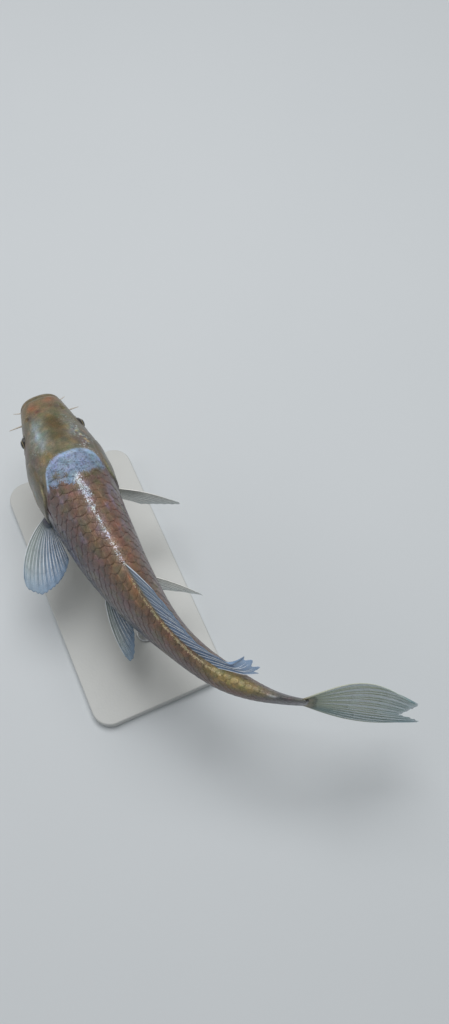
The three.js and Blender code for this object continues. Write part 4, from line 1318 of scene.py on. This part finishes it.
# %% Rods
ROD = {"radius": 3.0, "foot": 8.0, "thick": 3.0, "edge": 0.8, "fillet": 1.2, "chamfer": 0.3, "into": 1.6}
ROD_SIDES = 48
quarter = np.radians(np.linspace(0, 90, BEVEL_STEPS))
low, foot_top = BASE["thick"], BASE["thick"] + ROD["thick"]
# Radius and height pairs: the foot's side, its rounded edge, a fillet and the rod.
sin, cos = np.sin(quarter), np.cos(quarter)
radius = np.concatenate([[ROD["foot"] - ROD["chamfer"], ROD["foot"]], ROD["foot"] - ROD["edge"] * (1 - cos),
                         ROD["radius"] + ROD["fillet"] * (1 - sin), [ROD["radius"]]])
level = np.concatenate([[low, low + ROD["chamfer"]], foot_top - ROD["edge"] * (1 - sin),
                        foot_top + ROD["fillet"] * (1 - cos), [foot_top]])
turn = 2 * np.pi * np.arange(ROD_SIDES) / ROD_SIDES
for word, s in (("front", 0.31), ("rear", 0.56)):
    level[-1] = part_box(f"stand_rod_{word}")[1][2] * 1000 - ORIGIN[2] + ROD["into"]
    rod_rings = upright(*place(s, 0, 0)[:2], radius, turn, level)
    new_piece(f"stand_{word}_rod", *closed_rings(rod_rings), brushed_steel, "stand_steel",
              nodes=(f"stand_rod_{word}",))

# %% [markdown]
# ## Floor, light and camera
#
# Museum models are lit softly, so that wet skin shows broad sheens and no hard glare: a large lamp
# overhead, a weaker one from the side and an even pale room. Their sum renders a level surface's colour
# about as it is written. The camera looks down steeply from above and behind, as a visitor who bends
# over a pond does.

# %% Floor
FLOOR_HALF = 3.0
# Matt paint has hardly any sheen, so the floor stays even and shows only soft shadow.
floor_paint = two_tone("matt_floor_paint", "#d0d5d8", "#d5d9dc", (3.0, 3.0), None, 0.9)
floor_mesh = bpy.data.meshes.new("floor")
signs = ((-1, -1), (1, -1), (1, 1), (-1, 1))
floor_corners = [(x * FLOOR_HALF, y * FLOOR_HALF, ORIGIN[2] * 0.001) for x, y in signs]
floor_mesh.from_pydata(floor_corners, [], [(0, 1, 2, 3)])
floor_mesh.materials.append(floor_paint)
put("floor", floor_mesh)
print("floor:", 2 * FLOOR_HALF, "m wide")

# %% Camera
LOOK = Vector((22.9, 98.2, 112.0)) * 0.001 + Vector(ORIGIN) * 0.001
AZIMUTH, ELEVATION, DISTANCE = np.radians(66), np.radians(66), 0.78
level_part = np.cos(ELEVATION)
toward = Vector((np.sin(AZIMUTH) * level_part, -np.cos(AZIMUTH) * level_part, np.sin(ELEVATION)))


def aim(name, data, place_at):
    """Puts a camera or a lamp at a place, facing the model."""
    thing = put(name, data)
    thing.location = place_at
    thing.rotation_euler = (LOOK - place_at).to_track_quat("-Z", "Y").to_euler()
    return thing


camera_data = bpy.data.cameras.new("camera")
camera_data.lens = 34.6
bpy.context.scene.camera = aim("camera", camera_data, LOOK + toward * DISTANCE)
print("camera at", [round(part, 3) for part in bpy.context.scene.camera.location])

# %% Light
# level is the share of full brightness that a square lamp gives to a surface facing it: its power is
# level times pi squared times distance squared.
for name, place_at, size, level in (
        ("overhead", (-0.35, 0.25, 1.9), 1.2, 0.74), ("side", (-1.2, -1.3, 1.0), 1.0, 0.1)):
    lamp = bpy.data.lights.new(name, "AREA")
    lamp.size = size
    lamp.energy = level * np.pi ** 2 * (Vector(place_at) - LOOK).length_squared
    aim(name, lamp, Vector(place_at))
    print(name, "lamp:", round(lamp.energy, 1), "W")
# The room shows pale, also in steel and in wet skin, but it lights the model only a little.
world = bpy.data.worlds.new("studio")
add = empty_tree(world)
seen = add("LightPath").outputs
clear = add("Math MAXIMUM", seen["Is Camera Ray"], seen["Is Transmission Ray"])
level = add("MapRange", add("Math MAXIMUM", clear, seen["Is Glossy Ray"]), 0.0, 1.0, 0.27, 0.55)
add("OutputWorld", add("Background", "#eef1f3", level))
bpy.context.scene.world = world
bpy.context.scene.view_settings.view_transform = "Standard"
